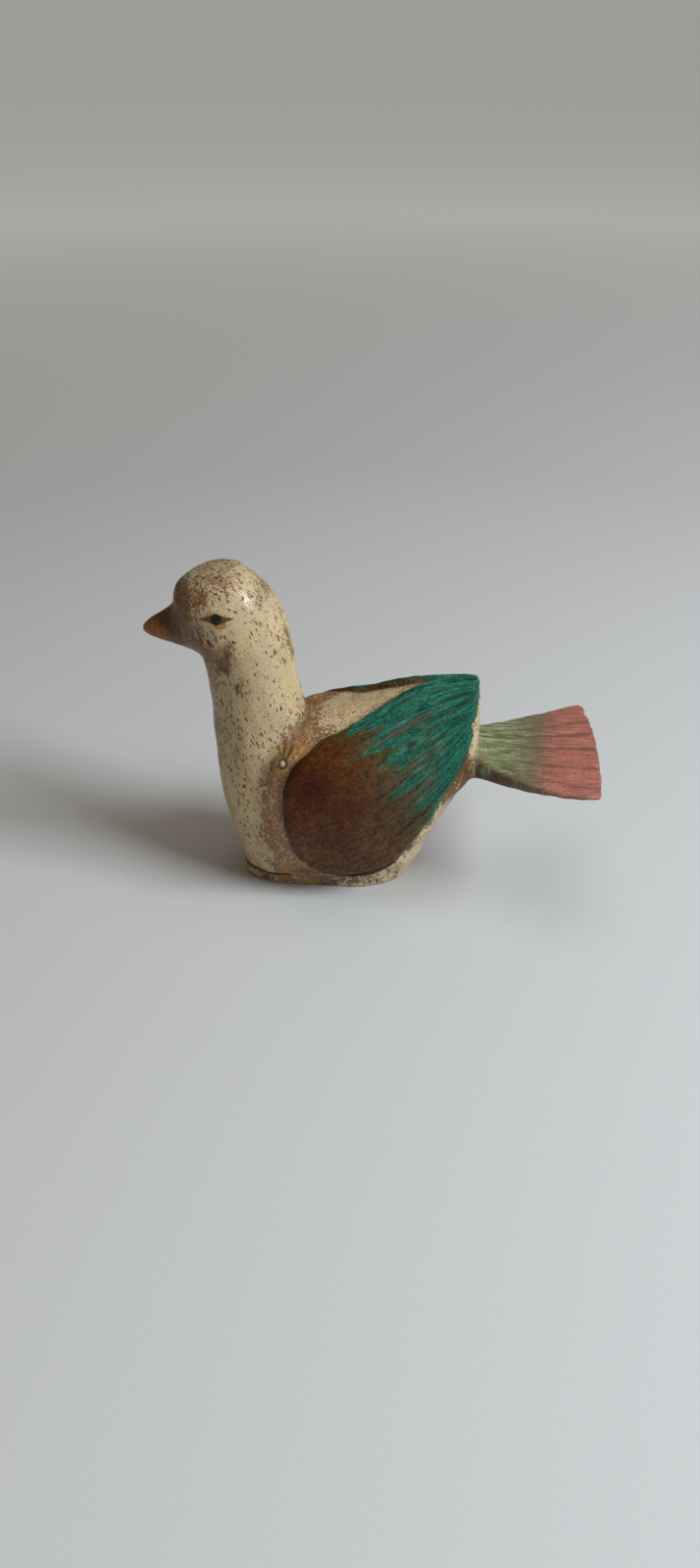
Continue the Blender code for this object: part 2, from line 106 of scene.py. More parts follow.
# ==================================================================== curves and smooth joins
def through(xs, ys, x):
    xs = np.asarray(xs, float)
    ys = np.asarray(ys, float)
    h = np.diff(xs)
    d = np.diff(ys) / h
    m = np.zeros(len(xs))
    for i in range(1, len(xs) - 1):
        if d[i - 1] * d[i] > 0:
            w1, w2 = 2 * h[i] + h[i - 1], h[i] + 2 * h[i - 1]
            m[i] = (w1 + w2) / (w1 / d[i - 1] + w2 / d[i])
    m[0], m[-1] = d[0], d[-1]
    x = np.clip(x, xs[0], xs[-1])
    k = np.clip(np.searchsorted(xs, x, side="right") - 1, 0, len(xs) - 2)
    t = (x - xs[k]) / h[k]
    return (ys[k] * (1 + 2 * t) * (1 - t) ** 2 + m[k] * h[k] * t * (1 - t) ** 2
            + ys[k + 1] * t * t * (3 - 2 * t) + m[k + 1] * h[k] * t * t * (t - 1))


def smooth_outline(points, n):
    P = np.asarray(points, float)
    count = len(P)
    out = []
    for i in range(count):
        p0, p1, p2, p3 = P[i - 1], P[i], P[(i + 1) % count], P[(i + 2) % count]
        a, b, c = (math.sqrt(np.linalg.norm(q)) + 1e-9 for q in (p1 - p0, p2 - p1, p3 - p2))
        m1 = ((p2 - p1) / b - (p2 - p0) / (a + b) + (p1 - p0) / a) * b
        m2 = ((p2 - p1) / b - (p3 - p1) / (b + c) + (p3 - p2) / c) * b
        for k in range(n):
            t = k / n
            out.append(p1 * (1 + 2 * t) * (1 - t) ** 2 + m1 * t * (1 - t) ** 2
                       + p2 * t * t * (3 - 2 * t) + m2 * t * t * (t - 1))
    return np.array(out)


def outline_distance(outline, x, z):
    """signed distance to a closed outline in the side view, negative inside"""
    best = np.full(x.shape, 1e9)
    inside = np.zeros(x.shape, bool)
    for (ax, az), (bx, bz) in zip(outline, np.roll(outline, -1, 0)):
        ex, ez = bx - ax, bz - az
        t = np.clip(((x - ax) * ex + (z - az) * ez) / (ex * ex + ez * ez), 0, 1)
        best = np.minimum(best, (x - ax - t * ex) ** 2 + (z - az - t * ez) ** 2)
        if ez != 0:
            inside ^= ((az > z) != (bz > z)) & (x < ex * (z - az) / ez + ax)
    return np.where(inside, -1, 1) * np.sqrt(best)


def smin(a, b, k):
    h = np.clip(0.5 + 0.5 * (b - a) / k, 0, 1)
    return b + (a - b) * h - k * h * (1 - h)


def smax(a, b, k):
    return -smin(-a, -b, k)


def step(lo, hi, x):
    t = np.clip((x - lo) / (hi - lo), 0, 1)
    return t * t * (3 - 2 * t)


def as_distance(F, spacing, least=0.35):
    g = np.gradient(F, spacing, spacing, spacing)
    return F / np.clip(np.sqrt(g[0] ** 2 + g[1] ** 2 + g[2] ** 2), least, None)


def waves(P, seed, scale, count=7):
    """smooth unevenness of about the given wavelength, -1 to 1"""
    rng = np.random.default_rng(seed)
    out = np.zeros(len(P))
    for _ in range(count):
        d = rng.normal(size=3)
        d /= np.linalg.norm(d)
        out += np.sin(P @ d * (2 * math.pi / scale * rng.uniform(0.6, 1.7)) + rng.uniform(0, 2 * math.pi))
    return out / math.sqrt(count)


def body_width(x, z):
    rows = np.stack([through(WIDTH_X, row, x) for row in WIDTH])
    zs = np.asarray(WIDTH_Z, float)
    zc = np.clip(z, zs[0], zs[-1])
    k = np.clip(np.searchsorted(zs, zc, side="right") - 1, 0, len(zs) - 2)
    h = np.diff(zs)
    d = np.diff(rows, axis=0) / h.reshape((-1,) + (1,) * x.ndim)
    m = np.concatenate([d[:1], 0.5 * (d[1:] + d[:-1]), d[-1:]])
    pick = lambda table, i: np.take_along_axis(table, i[None], 0)[0]
    t = (zc - zs[k]) / h[k]
    return (pick(rows, k) * (1 + 2 * t) * (1 - t) ** 2 + pick(m, k) * h[k] * t * (1 - t) ** 2
            + pick(rows, k + 1) * t * t * (3 - 2 * t) + pick(m, k + 1) * h[k] * t * t * (t - 1))


WING_OUTLINE = smooth_outline(WING, 4)
BODY_OUTLINE = smooth_outline(BODY, 5)


# ==================================================================== the carving as one smooth solid
def carve(sp):
    x = np.arange(-52.0, 83.0, sp)
    y = np.arange(-27.0, 31.5, sp)
    z = np.arange(-1.5, 105.0, sp)
    X2, Z2 = np.meshgrid(x, z, indexing="ij")
    X, Y, Z = x[:, None, None], y[None, :, None], z[None, None, :]
    # neck and head
    crown = [(HEAD_TOP, HEAD_TOP_X, HEAD_TOP_X, 0.0)] + COLUMN[::-1]
    root = [math.sqrt(HEAD_TOP - c[0]) for c in crown]
    q = np.sqrt(np.clip(HEAD_TOP - z, 0, None))
    front, back, wide = (through(root, [c[i] for c in crown], q) for i in (1, 2, 3))
    mid, length, wide = 0.5 * (front + back), np.maximum(0.5 * (back - front), 0.05), np.maximum(wide, 0.05)
    column = ((np.abs(X - mid) / length) ** 2.05 + (np.abs(Y) / wide) ** 2.05) ** (1 / 2.05)
    column = (column - 1) * np.minimum(length, wide)
    column = np.where(Z > HEAD_TOP - 0.02, np.sqrt((X - HEAD_TOP_X) ** 2 + Y ** 2) * 0.5 + Z - HEAD_TOP, column)
    column = as_distance(column, sp)
    # body
    inside = -outline_distance(BODY_OUTLINE, X2, Z2)
    width = body_width(X2, Z2)
    edge = (4.0 + 9.0 * step(52, 22, Z2)) * np.clip(1 - (X2 - 40) / 12, 0.45, 1)
    u = np.maximum(edge - inside, 0) / edge
    body = ((u[:, None, :] ** 2.2 + (np.abs(Y) / width[:, None, :]) ** 2.2) ** (1 / 2.2) - 1)
    body = as_distance(body * np.minimum(edge, width)[:, None, :], sp)
    trunk = smin(body, column, 2.6)
    # wings stand off the body inside the leaf outline, outside the sunk back
    leaf = outline_distance(WING_OUTLINE, X2, Z2)
    relief = WING_RELIEF + 1.3 * step(24, 12, Z2) + 0.5 * step(0, -8, X2) * step(52, 46, Z2)
    relief = relief - 1.0 * np.exp(-(((X2 - 2.0) / 7.0) ** 2 + ((Z2 - 57.5) / 4.0) ** 2))
    rim = through([b[0] for b in BACK], [b[1] for b in BACK], x)[:, None, None]
    wing = smax(body - relief[:, None, :], leaf[:, None, :], 1.7)
    wing = smax(wing, rim - np.abs(Y), 1.2)
    # beak
    rings = [(BEAK_TIP[0], BEAK_TIP[1], 0.0, 0.0)] + BEAK[::-1]
    root = [math.sqrt(r[0] - BEAK_TIP[0]) for r in rings]
    q = np.sqrt(np.clip(x - BEAK_TIP[0], 0, None))
    zc, high, wide = (through(root, [r[i] for r in rings], q)[:, None, None] for i in (1, 2, 3))
    high, wide = np.maximum(high, 0.02), np.maximum(wide, 0.02)
    beak = (np.sqrt(((Z - zc) / high) ** 2 + (Y / wide) ** 2) - 1) * np.minimum(high, wide)
    beak = np.where(X < BEAK_TIP[0] + 0.02, np.sqrt((X - BEAK_TIP[0]) ** 2 + (Z - BEAK_TIP[1]) ** 2 + Y ** 2), beak)
    beak = as_distance(np.maximum(beak, X + 33.0), sp)
    # tail
    near, far, top, mid, thin = (through([t[0] for t in TAIL], [t[i] for t in TAIL], x)[:, None, None] for i in (1, 2, 3, 4, 5))
    half = np.where(Y < 0, near, far)
    v = np.clip(np.abs(Y) / half, 0, 1)
    over = top - 0.7 * v ** 2 * np.clip((X - 50) / 30, 0, 1) - 0.9 * v ** 3
    under = top - mid + (mid - thin - 0.7) * v ** 2
    tail = smax(smax(Z - over, under - Z, 0.9), (np.abs(Y) - half) * 0.93, 1.2)
    end = TAIL_END - np.where(Y > 0, 0.0026, 0.0014) * Y ** 2
    end = end - 0.9 * np.exp(-((Y - 21.5) / 1.3) ** 2) - 0.5 * np.exp(-((Y - 13.5) / 0.9) ** 2)
    end = end - 0.35 * np.exp(-((Y + 11) / 0.9) ** 2) - 0.3 * np.exp(-((Y - 1.5) / 0.9) ** 2)
    end = end - 1.4 * step(26.0, 29.5, Y)
    tail = np.maximum(smax(tail, X - end, 0.9), 34.0 - X)
    # together
    F = smin(trunk, wing, 0.8)
    F = smin(F, beak, 2.0)
    F = smin(F, tail, 2.2)
    F = smax(F, -Z, 0.8)
    return (x, y, z), F, {"body": trunk, "wing": wing, "beak": beak, "tail": tail, "leaf": leaf}


def surface(axes, F):
    """quads on the zero surface of F"""
    x, y, z = axes
    sp = x[1] - x[0]
    neg = F < 0
    nx, ny, nz = F.shape
    count = np.zeros((nx - 1, ny - 1, nz - 1), np.uint8)
    corners = [(i, j, k) for i in (0, 1) for j in (0, 1) for k in (0, 1)]
    for i, j, k in corners:
        count += neg[i:nx - 1 + i, j:ny - 1 + j, k:nz - 1 + k]
    active = (count > 0) & (count < 8)
    index = np.full(active.shape, -1, np.int64)
    cells = np.argwhere(active)
    index[active] = np.arange(len(cells))
    total, hits = np.zeros((len(cells), 3)), np.zeros(len(cells))
    for a in range(8):
        for b in range(a + 1, 8):
            ca, cb = corners[a], corners[b]
            if sum(abs(ca[t] - cb[t]) for t in range(3)) != 1:
                continue
            fa = F[cells[:, 0] + ca[0], cells[:, 1] + ca[1], cells[:, 2] + ca[2]]
            fb = F[cells[:, 0] + cb[0], cells[:, 1] + cb[1], cells[:, 2] + cb[2]]
            cross = (fa < 0) != (fb < 0)
            t = np.where(cross, fa / np.where(cross, fa - fb, 1), 0)
            point = np.array(ca, float) + t[:, None] * (np.array(cb, float) - np.array(ca, float))
            total[cross] += point[cross]
            hits[cross] += 1
    V = (cells + total / hits[:, None]) * sp + np.array([x[0], y[0], z[0]])
    quads = []
    for axis in range(3):
        first, second = [slice(None)] * 3, [slice(None)] * 3
        first[axis], second[axis] = slice(0, -1), slice(1, None)
        na, nb = neg[tuple(first)], neg[tuple(second)]
        edges = np.argwhere(na != nb)
        flip = na[tuple(edges.T)]
        o = [t for t in range(3) if t != axis]

        def cell(d0, d1):
            e = edges.copy()
            e[:, o[0]] -= d0
            e[:, o[1]] -= d1
            return index[tuple(e.T)]

        quad = np.stack([cell(1, 1), cell(0, 1), cell(0, 0), cell(1, 0)], 1)
        turn = ~flip if axis != 1 else flip
        quad[turn] = quad[turn][:, ::-1]
        quads.append(quad)
    return V, np.concatenate(quads)


def sample(axes, F, P):
    """value of a grid at points"""
    sp = axes[0][1] - axes[0][0]
    g = [np.clip((P[:, i] - axes[i][0]) / sp, 0, F.shape[i] - 1.001) for i in range(3)]
    i0 = [q.astype(int) for q in g]
    f = [q - i for q, i in zip(g, i0)]
    out = 0
    for a in (0, 1):
        for b in (0, 1):
            for c in (0, 1):
                weight = (f[0] if a else 1 - f[0]) * (f[1] if b else 1 - f[1]) * (f[2] if c else 1 - f[2])
                out = out + weight * F[i0[0] + a, i0[1] + b, i0[2] + c]
    return out


def sample2(x, z, G, px, pz):
    sp = x[1] - x[0]
    gx = np.clip((px - x[0]) / sp, 0, G.shape[0] - 1.001)
    gz = np.clip((pz - z[0]) / sp, 0, G.shape[1] - 1.001)
    i, j = gx.astype(int), gz.astype(int)
    fx, fz = gx - i, gz - j
    return (G[i, j] * (1 - fx) * (1 - fz) + G[i + 1, j] * fx * (1 - fz)
            + G[i, j + 1] * (1 - fx) * fz + G[i + 1, j + 1] * fx * fz)


def neighbours(Q, n):
    e = np.concatenate([Q[:, [0, 1]], Q[:, [1, 2]], Q[:, [2, 3]], Q[:, [3, 0]]])
    e = np.concatenate([e, e[:, ::-1]])
    e = np.unique(e[:, 0].astype(np.int64) * n + e[:, 1])
    a, b = e // n, e % n
    return a, b, np.bincount(a, minlength=n).astype(float)


def spread(values, ring, times=1, part=1.0):
    """each point's value moved towards the mean of its neighbours"""
    a, b, count = ring
    v = np.array(values, float)
    for _ in range(times):
        if v.ndim == 1:
            mean = np.bincount(a, weights=v[b], minlength=len(v)) / count
        else:
            mean = np.stack([np.bincount(a, weights=v[b, i], minlength=len(v)) for i in range(v.shape[1])], 1) / count[:, None]
        v = v + part * (mean - v)
    return v


def point_normals(V, Q):
    n = np.cross(V[Q[:, 2]] - V[Q[:, 0]], V[Q[:, 3]] - V[Q[:, 1]])
    out = np.stack([np.bincount(Q.ravel(), weights=np.repeat(n[:, i], 4), minlength=len(V)) for i in range(3)], 1)
    return out / (np.linalg.norm(out, axis=1)[:, None] + 1e-12)


axes, solid, piece_of = carve(GRID)
V, Q = surface(axes, solid)
ring = neighbours(Q, len(V))
slope = np.gradient(solid, GRID, GRID, GRID)
for _ in range(3):                 # even out the points, then back on to the surface
    V = spread(V, ring, 1, 0.6)
    g = np.stack([sample(axes, s, V) for s in slope], 1)
    V -= g * (sample(axes, solid, V) / np.clip((g ** 2).sum(1), 0.05, None))[:, None]
N = point_normals(V, Q)
X, Y, Z = V.T.copy()
SIDE = np.where(Y < 0, -1.0, 1.0)

# -------------------------------------------------------------------- where each part of the surface is
part_d = {k: sample(axes, piece_of[k], V) for k in ("body", "wing", "beak", "tail")}
leaf_d = sample2(axes[0], axes[2], piece_of["leaf"], X, Z)
others = np.minimum(part_d["body"], part_d["tail"])
wing_mask = step(0.45, -0.15, part_d["wing"] - others - 0.1) * step(0.9, 0.3, leaf_d)
tail_mask = step(0.5, -0.5, part_d["tail"] - np.minimum(part_d["body"], part_d["wing"]) - 0.6) * step(44.2, 45.4, X)
beak_mask = step(-39.6, -42.2, X + 0.10 * np.abs(Z - 84.5))
del piece_of, solid, slope

# feather lines: U = 0 on the highest, 1 on the lowest, between and beyond in proportion
line_top = through([p[0] for p in FEATHER_TOP], [p[1] for p in FEATHER_TOP], X)
line_low = through([p[0] for p in FEATHER_LOW], [p[1] for p in FEATHER_LOW], X)
U = (line_top - Z) / (line_top - line_low)

# -------------------------------------------------------------------- carved relief, mm along the normal
height = np.zeros(len(V))
rng = np.random.default_rng(5)
# feathers: gouged lines from the middle of the wing to its rear edge, each band a little rounded
line_at = (np.arange(0, FEATHERS + 3) + 0.55 + 0.30 * (rng.random(FEATHERS + 3) - 0.5)) / FEATHERS
begins = 15.0 + 8.0 * rng.random(len(line_at))
deep = 0.55 + 0.45 * rng.random(len(line_at))
wander = 0.010 * waves(V, 3, 22) + 0.004 * waves(V, 4, 7)
gap = np.abs(U[:, None] - line_at[None] - wander[:, None]) * (line_top - line_low)[:, None]      # mm, across
groove = (np.exp(-(gap / 0.62) ** 2) * step(0, 14, X[:, None] - begins[None]) * deep[None]).max(1)
nearest = np.sort(gap, axis=1)[:, 0]
band_round = np.clip(1 - nearest / 2.0, 0, 1) ** 2 * step(16, 34, X)
feather = wing_mask * (-0.55 * groove - 0.22 * band_round)
fine = np.sin(U * (line_top - line_low) * 5.2 + 2.4 * waves(V, 11, 9)) * step(14, 26, X)
feather += wing_mask * 0.055 * fine
height += feather
# tail flutes
half = np.where(Y < 0, through([t[0] for t in TAIL], [t[1] for t in TAIL], X), through([t[0] for t in TAIL], [t[2] for t in TAIL], X))
tail_v = Y / half
flutes = sum(k * np.exp(-((tail_v - f - 0.01 * waves(V, 7, 18)) / 0.035) ** 2) for f, k in TAIL_FLUTES)
tail_upper = step(0.2, 0.6, N[:, 2]) * tail_mask
height -= tail_upper * step(48, 56, X) * 0.5 * flutes
height += tail_mask * 0.05 * np.sin(tail_v * 2 * math.pi * 17 + 2.5 * waves(V, 12, 10))
tail_lower = step(-0.2, -0.6, N[:, 2]) * tail_mask
height -= tail_lower * step(50, 58, X) * 0.25 * flutes
# groove above the foot
front_side = step(-8.5, -10.5, X) * (1 - wing_mask)
foot_line = np.exp(-((Z - 4.6 - 0.35 * waves(V, 9, 14)) / 0.85) ** 2)
height -= 0.6 * foot_line * front_side
# the plug by the shoulder: a small rounded knob in a shallow ring
near_side = step(-6, -8, Y)
KNOB = V[np.argmin(np.hypot(X + 9.7, Z - 50.4) + 100 * (Y > -6))]
knob = np.linalg.norm(V - KNOB, axis=1)
height += near_side * (0.80 * np.exp(-(knob / 0.70) ** 2) - 0.28 * np.exp(-((knob - 1.5) / 0.5) ** 2))
# hand carving: long soft unevenness, knife flats on neck and head
height += (1 - tail_mask) * 0.22 * waves(V, 1, 17) + 0.07 * waves(V * [1, 1, 0.45], 2, 6)
# a nick at the wing tip
tip_d = np.sqrt((X - 44.2) ** 2 + ((Z - 69.6) * 1.3) ** 2)
height -= 0.5 * np.exp(-(tip_d / 0.9) ** 2) * wing_mask * step(0, -1, Y)

keep_flat = step(0.6, 1.6, Z)      # the underside stays flat on the table
height = spread(height, ring, 1, 0.35) * keep_flat
V = V + N * height[:, None]
V[:, 2] = np.maximum(V[:, 2], 0.0)
N = point_normals(V, Q)

# -------------------------------------------------------------------- hollows and edges, from how the points curve; the hollows are darkened with patina and painted shade
curve = ((spread(V, ring, 1, 1.0) - V) * N).sum(1) / GRID        # + in hollows, - on edges
hollow = np.clip(spread(curve, ring, 3, 0.8) * 9, -1, 1)
broad = (spread(V, ring, 10, 0.9) - V)
broad = (broad * N).sum(1)
broad = np.clip(spread(broad, ring, 4, 0.8) * 2.2, -1, 1)
hollow_patina_and_shade = np.clip(np.maximum(hollow, broad), 0, 1)
edge_wear = np.clip(-np.minimum(hollow, 0), 0, 1)

# -------------------------------------------------------------------- how much brown shows through the cream, with painted shade along the wings and in hollows
P = V
away = leaf_d                       # distance outside the wing outline in the side view
outer = step(6, 9, np.abs(Y))
gutter_wide = through([0, 20, 45, 62], [15.0, 9.5, 6.6, 6.0], Z)
ragged_edge = 0.7 * waves(V, 31, 5) + 0.6 * waves(V, 32, 2.4)
gutter = step(1.12, 0.70, (away + ragged_edge) / gutter_wide) * outer * step(8, -2, X)                                   # in front of the wing
gutter += 0.8 * step(1.0, 0.3, (away + ragged_edge) / through([0, 14, 22], [4.4, 4.0, 2.6], Z)) * outer * step(58, 50, Z) * step(-4, 4, X)                # under and behind it
shoulder = np.exp(-(((X + 4.5) / 4.2) ** 2 + ((Z - 57.5) / 4.0) ** 2)) * 0.9              # where neck meets back
rim_line = through([b[0] for b in BACK], [b[1] for b in BACK], X)
beside = step(-5, 2, X) * step(3.4, 0.4, rim_line - np.abs(Y)) * step(52, 56, Z) * 0.62   # painted shade: brown along the wings' inner edges on the back
beside = np.maximum(beside, 0.5 * step(24, 36, X) * step(60, 64, Z))
saddle = step(-6, 0, X) * step(54, 57, Z) * (1 - wing_mask)
under_wing = step(-17, -11, X)
foot = step(14, 6, Z) * under_wing * (0.55 + 0.45 * step(3.5, 0.5, leaf_d)) * step(30, 22, X)
foot = np.maximum(foot, step(5.6, 4.2, Z) * step(2.9, 3.9, Z) * (1 - under_wing) * 0.9)
foot = np.maximum(foot, np.exp(-(((X + 17.0) / 4.5) ** 2 + ((Z - 2.0) / 1.6) ** 2)) * 0.9)
face = np.exp(-(((X + 41.5) / 6.9) ** 2 + ((Z - 87.0) / 8.2) ** 2)) * 1.6
brow = np.exp(-(((X + 37.5) / 4.4) ** 2 + ((Z - 96) / 4.7) ** 2)) * 0.68
crown_patch = np.exp(-(((X + 26.0) / 3.6) ** 2 + ((Z - 101.2) / 2.2) ** 2)) * 0.75
crown_patch = np.maximum(crown_patch, np.exp(-(((X + 15.5) / 2.2) ** 2 + ((Z - 96.0) / 4.0) ** 2)) * 0.45)
crown_patch = np.maximum(crown_patch, np.exp(-(((X + 31.5) / 2.6) ** 2 + ((Z - 97.5) / 2.0) ** 2)) * 0.55)
cheek = np.exp(-((X + 23.4 + (86 - Z) * 0.24) / 1.9) ** 2) * step(73, 77, Z) * step(88, 85, Z) * 0.95
cheek = np.maximum(cheek, np.exp(-(((X + 21.8) / 1.3) ** 2 + ((Z - 71) / 2.6) ** 2)) * 0.7)
throat = np.exp(-(((X + 30.0) / 3.2) ** 2 + ((Z - 80) / 5) ** 2)) * 0.45
neck_streak = np.exp(-((X + 24.5 - (66 - Z) * 0.10) / 2.4) ** 2) * step(34, 42, Z) * step(70, 64, Z) * 0.22
front_streak = np.exp(-((X + 31.0) / 2.4) ** 2) * step(28, 50, Z) * 0.20
nape = np.exp(-((X + 7.6 + np.maximum(Z - 79, 0) * 0.25) / 0.9) ** 2) * step(75, 78, Z) * step(89, 84, Z) * step(2, -3, Y) * 1.0
rump = step(35, 40, X) * step(53, 47, Z) * 0.85 * (1 - tail_mask)
rump = np.maximum(rump, tail_mask * step(0.45, 0.0, N[:, 2]) * step(74, 64, X) * 0.9)
rump = np.maximum(rump, tail_mask * step(0.66, 0.92, -tail_v) * step(76, 60, X) * 0.9)
brown = np.clip(gutter * (0.86 + 0.30 * waves(V, 33, 3.5)) + 0.85 * shoulder + 0.8 * beside + foot * (1 - 0.12 * step(8, 16, X)) * (0.88 + 0.34 * waves(V, 34, 3.2)) + rump + 0.08 * saddle + 0.45 * hollow_patina_and_shade, 0, 1)
haze = np.clip(face + brow + crown_patch + cheek + throat + neck_streak + front_streak + nape + 0.12 * step(-24, -31, X) + 0.22 * np.exp(-(((X + 32.0) / 6.5) ** 2 + ((Z - 81.0) / 7.5) ** 2)), 0, 1)
strip = step(42.6, 43.2, X) * step(49, 51, Z) * step(66, 62, Z)
brown = np.clip(brown * (1 - 0.6 * strip) * (1 - 0.45 * step(1.7, 0.7, Z)), 0, 1)
beak_root_dark = np.clip(1.5 * np.exp(-(((X + 41.0) / 3.2) ** 2 + ((Z - 88.5) / 6.0) ** 2)), 0, 1)      # dark at the root of the beak
brown = np.clip(brown * (0.92 + 0.25 * waves(P, 21, 9)), 0, 1)
flecks = np.clip(0.40 + 0.10 * step(-12, -16, X) * step(80, 70, Z) + 0.14 * np.exp(-(((X + 22.5) / 5.0) ** 2 + ((Z - 80) / 7.0) ** 2)) + 0.5 * haze + 0.36 * saddle + 0.28 * step(7, 2, away) * step(14, 20, X) - 0.30 * np.exp(-(((X + 19.5) / 4.5) ** 2 + ((Z - 91) / 5.0) ** 2)) + 0.22 * waves(P, 22, 15) + 0.16 * waves(P, 23, 6) + 0.2 * step(72, 92, Z) - 0.18 * step(-14, -9, X) * step(60, 70, Z), 0, 1)

# -------------------------------------------------------------------- green on the wing: where each stroke begins
green_from = through([0, 0.05, 0.10, 0.15, 0.21, 0.26, 0.32, 0.385, 0.45, 0.53, 0.62, 0.68, 0.76, 0.86, 0.96, 1.1],
                     [9.5, 12.5, 17.5, 15.0, 14.5, 19.5, 21.0, 20.0, 22.0, 24.5, 23.0, 21.5, 26.0, 27.5, 27.0, 30.5], U)
stroke_len = (X - green_from) * 1.2                                  # mm past the start of the green
in_stroke = np.full(len(V), -9.0)                                  # mm inside the nearest stroke
for w0, w1, *path in STROKES:
    path = np.array(path, float)
    length = np.concatenate([[0], np.cumsum(np.linalg.norm(np.diff(path, axis=0), axis=1))])
    for k, ((ax, az), (bx, bz)) in enumerate(zip(path[:-1], path[1:])):
        ex, ez = bx - ax, bz - az
        s = np.clip(((X - ax) * ex + (Z - az) * ez) / (ex * ex + ez * ez), 0, 1)
        w = w0 + (w1 - w0) * (length[k] + s * (length[k + 1] - length[k])) / length[-1]
        in_stroke = np.maximum(in_stroke, w - np.hypot(X - ax - s * ex, Z - az - s * ez))
wedge = np.exp(-((U - 0.215) * 38 / 1.1) ** 2) * step(18, 22, X) * step(35, 27, X)
low_bare = np.exp(-((U - 0.55) * 38 / 1.5) ** 2) * step(14, 20, X) * step(40, 32, X) * 0.6
low_bare = np.maximum(low_bare, np.exp(-((U - 0.82) * 38 / 1.8) ** 2) * step(18, 24, X) * step(38, 32, X) * 0.5)
bare = np.clip(wedge + low_bare, 0, 1)
inner_face = step(-0.15, -0.55, N[:, 1] * SIDE) * wing_mask * step(12, 9, np.abs(Y))
red = np.exp(-(((X + 2.5) / 7.5) ** 2 + ((Z - 44) / 9.0) ** 2))
orange = np.exp(-(((X - 9.5) / 8.5) ** 2 + ((Z - 53.0) / 8.5) ** 2))

# along and across the grain, mm
across = np.where(wing_mask > 0.5, U * 38.0, np.where(tail_mask > 0.5, Y * 0.9, np.arctan2(Y, X + 18) * 14))
run = np.where(wing_mask > 0.5, X * 1.2, np.where(tail_mask > 0.5, X, Z))


# ==================================================================== mesh object
mesh = bpy.data.meshes.new("bird_carving")
coords = (V - np.array(SHIFT)) * 0.001
mesh.vertices.add(len(V))
mesh.vertices.foreach_set("co", coords.astype(np.float32).ravel())
mesh.loops.add(len(Q) * 4)
mesh.loops.foreach_set("vertex_index", Q.astype(np.int32).ravel())
mesh.polygons.add(len(Q))
mesh.polygons.foreach_set("loop_start", np.arange(0, len(Q) * 4, 4, dtype=np.int32))
mesh.polygons.foreach_set("loop_total", np.full(len(Q), 4, dtype=np.int32))
mesh.update(calc_edges=True)
mesh.validate()
mesh.polygons.foreach_set("use_smooth", np.ones(len(mesh.polygons), bool))


def attribute(name, *channels):
    kind = "FLOAT" if len(channels) == 1 else "FLOAT_VECTOR"
    layer = mesh.attributes.new(name, kind, "POINT")
    data = channels[0] if len(channels) == 1 else np.stack(channels, 1)
    layer.data.foreach_set("value" if len(channels) == 1 else "vector", np.ascontiguousarray(data, np.float32).ravel())


attribute("region", wing_mask, tail_mask, beak_mask)
attribute("age_and_shade", brown, flecks, hollow_patina_and_shade)
attribute("wear", edge_wear, haze, groove * wing_mask + flutes * tail_upper)
attribute("feather", run, across, SIDE * 40.0)
attribute("green", stroke_len, in_stroke, bare)
attribute("glaze", red, orange, inner_face)
# painted shadow: a dark band on the body just under the wing's lower edge, darkest towards its outer edge
painted_shadow_under_wing = step(0.4, -0.4, leaf_d - through([-5, 0, 5, 14, 20, 26], [2.0, 3.3, 4.2, 4.4, 3.9, 1.5], X) * (0.40 + 0.60 * step(4, -4, Y))) * step(24, 20, Z) * step(-6, -2, X) * step(27, 24, X) * (1 - wing_mask)
attribute("marks", knob, near_side, foot_line * front_side)
attribute("shade", painted_shadow_under_wing, nape, rump)
attribute("place", X, Y, Z)
attribute("root", beak_root_dark, painted_shadow_under_wing * step(2.3, 3.1, leaf_d), np.clip(gutter, 0, 1) * step(2, -4, X))

bird = bpy.data.objects.new("bird_carving", mesh)
bpy.context.scene.collection.objects.link(bird)
print("points", len(V), "triangles", len(Q) * 2)


# ==================================================================== paint
paint = bpy.data.materials.new("aged_paint_on_wood")
paint.use_nodes = True
tree = paint.node_tree
tree.nodes.clear()


def node(kind, **settings):
    n = tree.nodes.new(kind)
    for key, value in settings.items():
        setattr(n, key, value)
    return n


def put(socket, value):
    if hasattr(value, "is_output"):
        tree.links.new(value, socket)
    elif isinstance(value, (tuple, list)):
        socket.default_value = tuple(value) + ((1.0,) if len(value) == 3 and len(socket.default_value) == 4 else ())
    else:
        socket.default_value = value


def math_node(op, a, b=None, c=None, clamp=False):
    n = node("ShaderNodeMath", operation=op, use_clamp=clamp)
    for i, value in enumerate((a, b, c)):
        if value is not None:
            put(n.inputs[i], value)
    return n.outputs[0]


def add(a, b): return math_node("ADD", a, b)
def sub(a, b): return math_node("SUBTRACT", a, b)
def mul(a, b): return math_node("MULTIPLY", a, b)
def biggest(a, b): return math_node("MAXIMUM", a, b)
def smallest(a, b): return math_node("MINIMUM", a, b)
def magnitude(a): return math_node("ABSOLUTE", a)


def ramp(x, lo, hi, a=0.0, b=1.0, smooth=True):
    n = node("ShaderNodeMapRange", interpolation_type="SMOOTHSTEP" if smooth else "LINEAR", clamp=True)
    for i, value in enumerate((x, lo, hi, a, b)):
        put(n.inputs[i], value)
    return n.outputs[0]


def mix(fac, a, b):
    n = node("ShaderNodeMix", data_type="RGBA", clamp_factor=True)
    put(n.inputs[0], fac)
    put(n.inputs[6], a)
    put(n.inputs[7], b)
    return n.outputs[2]


def mixf(fac, a, b):
    n = node("ShaderNodeMix", data_type="FLOAT", clamp_factor=True)
    put(n.inputs[0], fac)
    put(n.inputs[2], a)
    put(n.inputs[3], b)
    return n.outputs[0]


def scale(colour, factor):
    n = node("ShaderNodeVectorMath", operation="SCALE")
    put(n.inputs[0], colour)
    put(n.inputs["Scale"], biggest(factor, 0.15))
    return n.outputs[0]


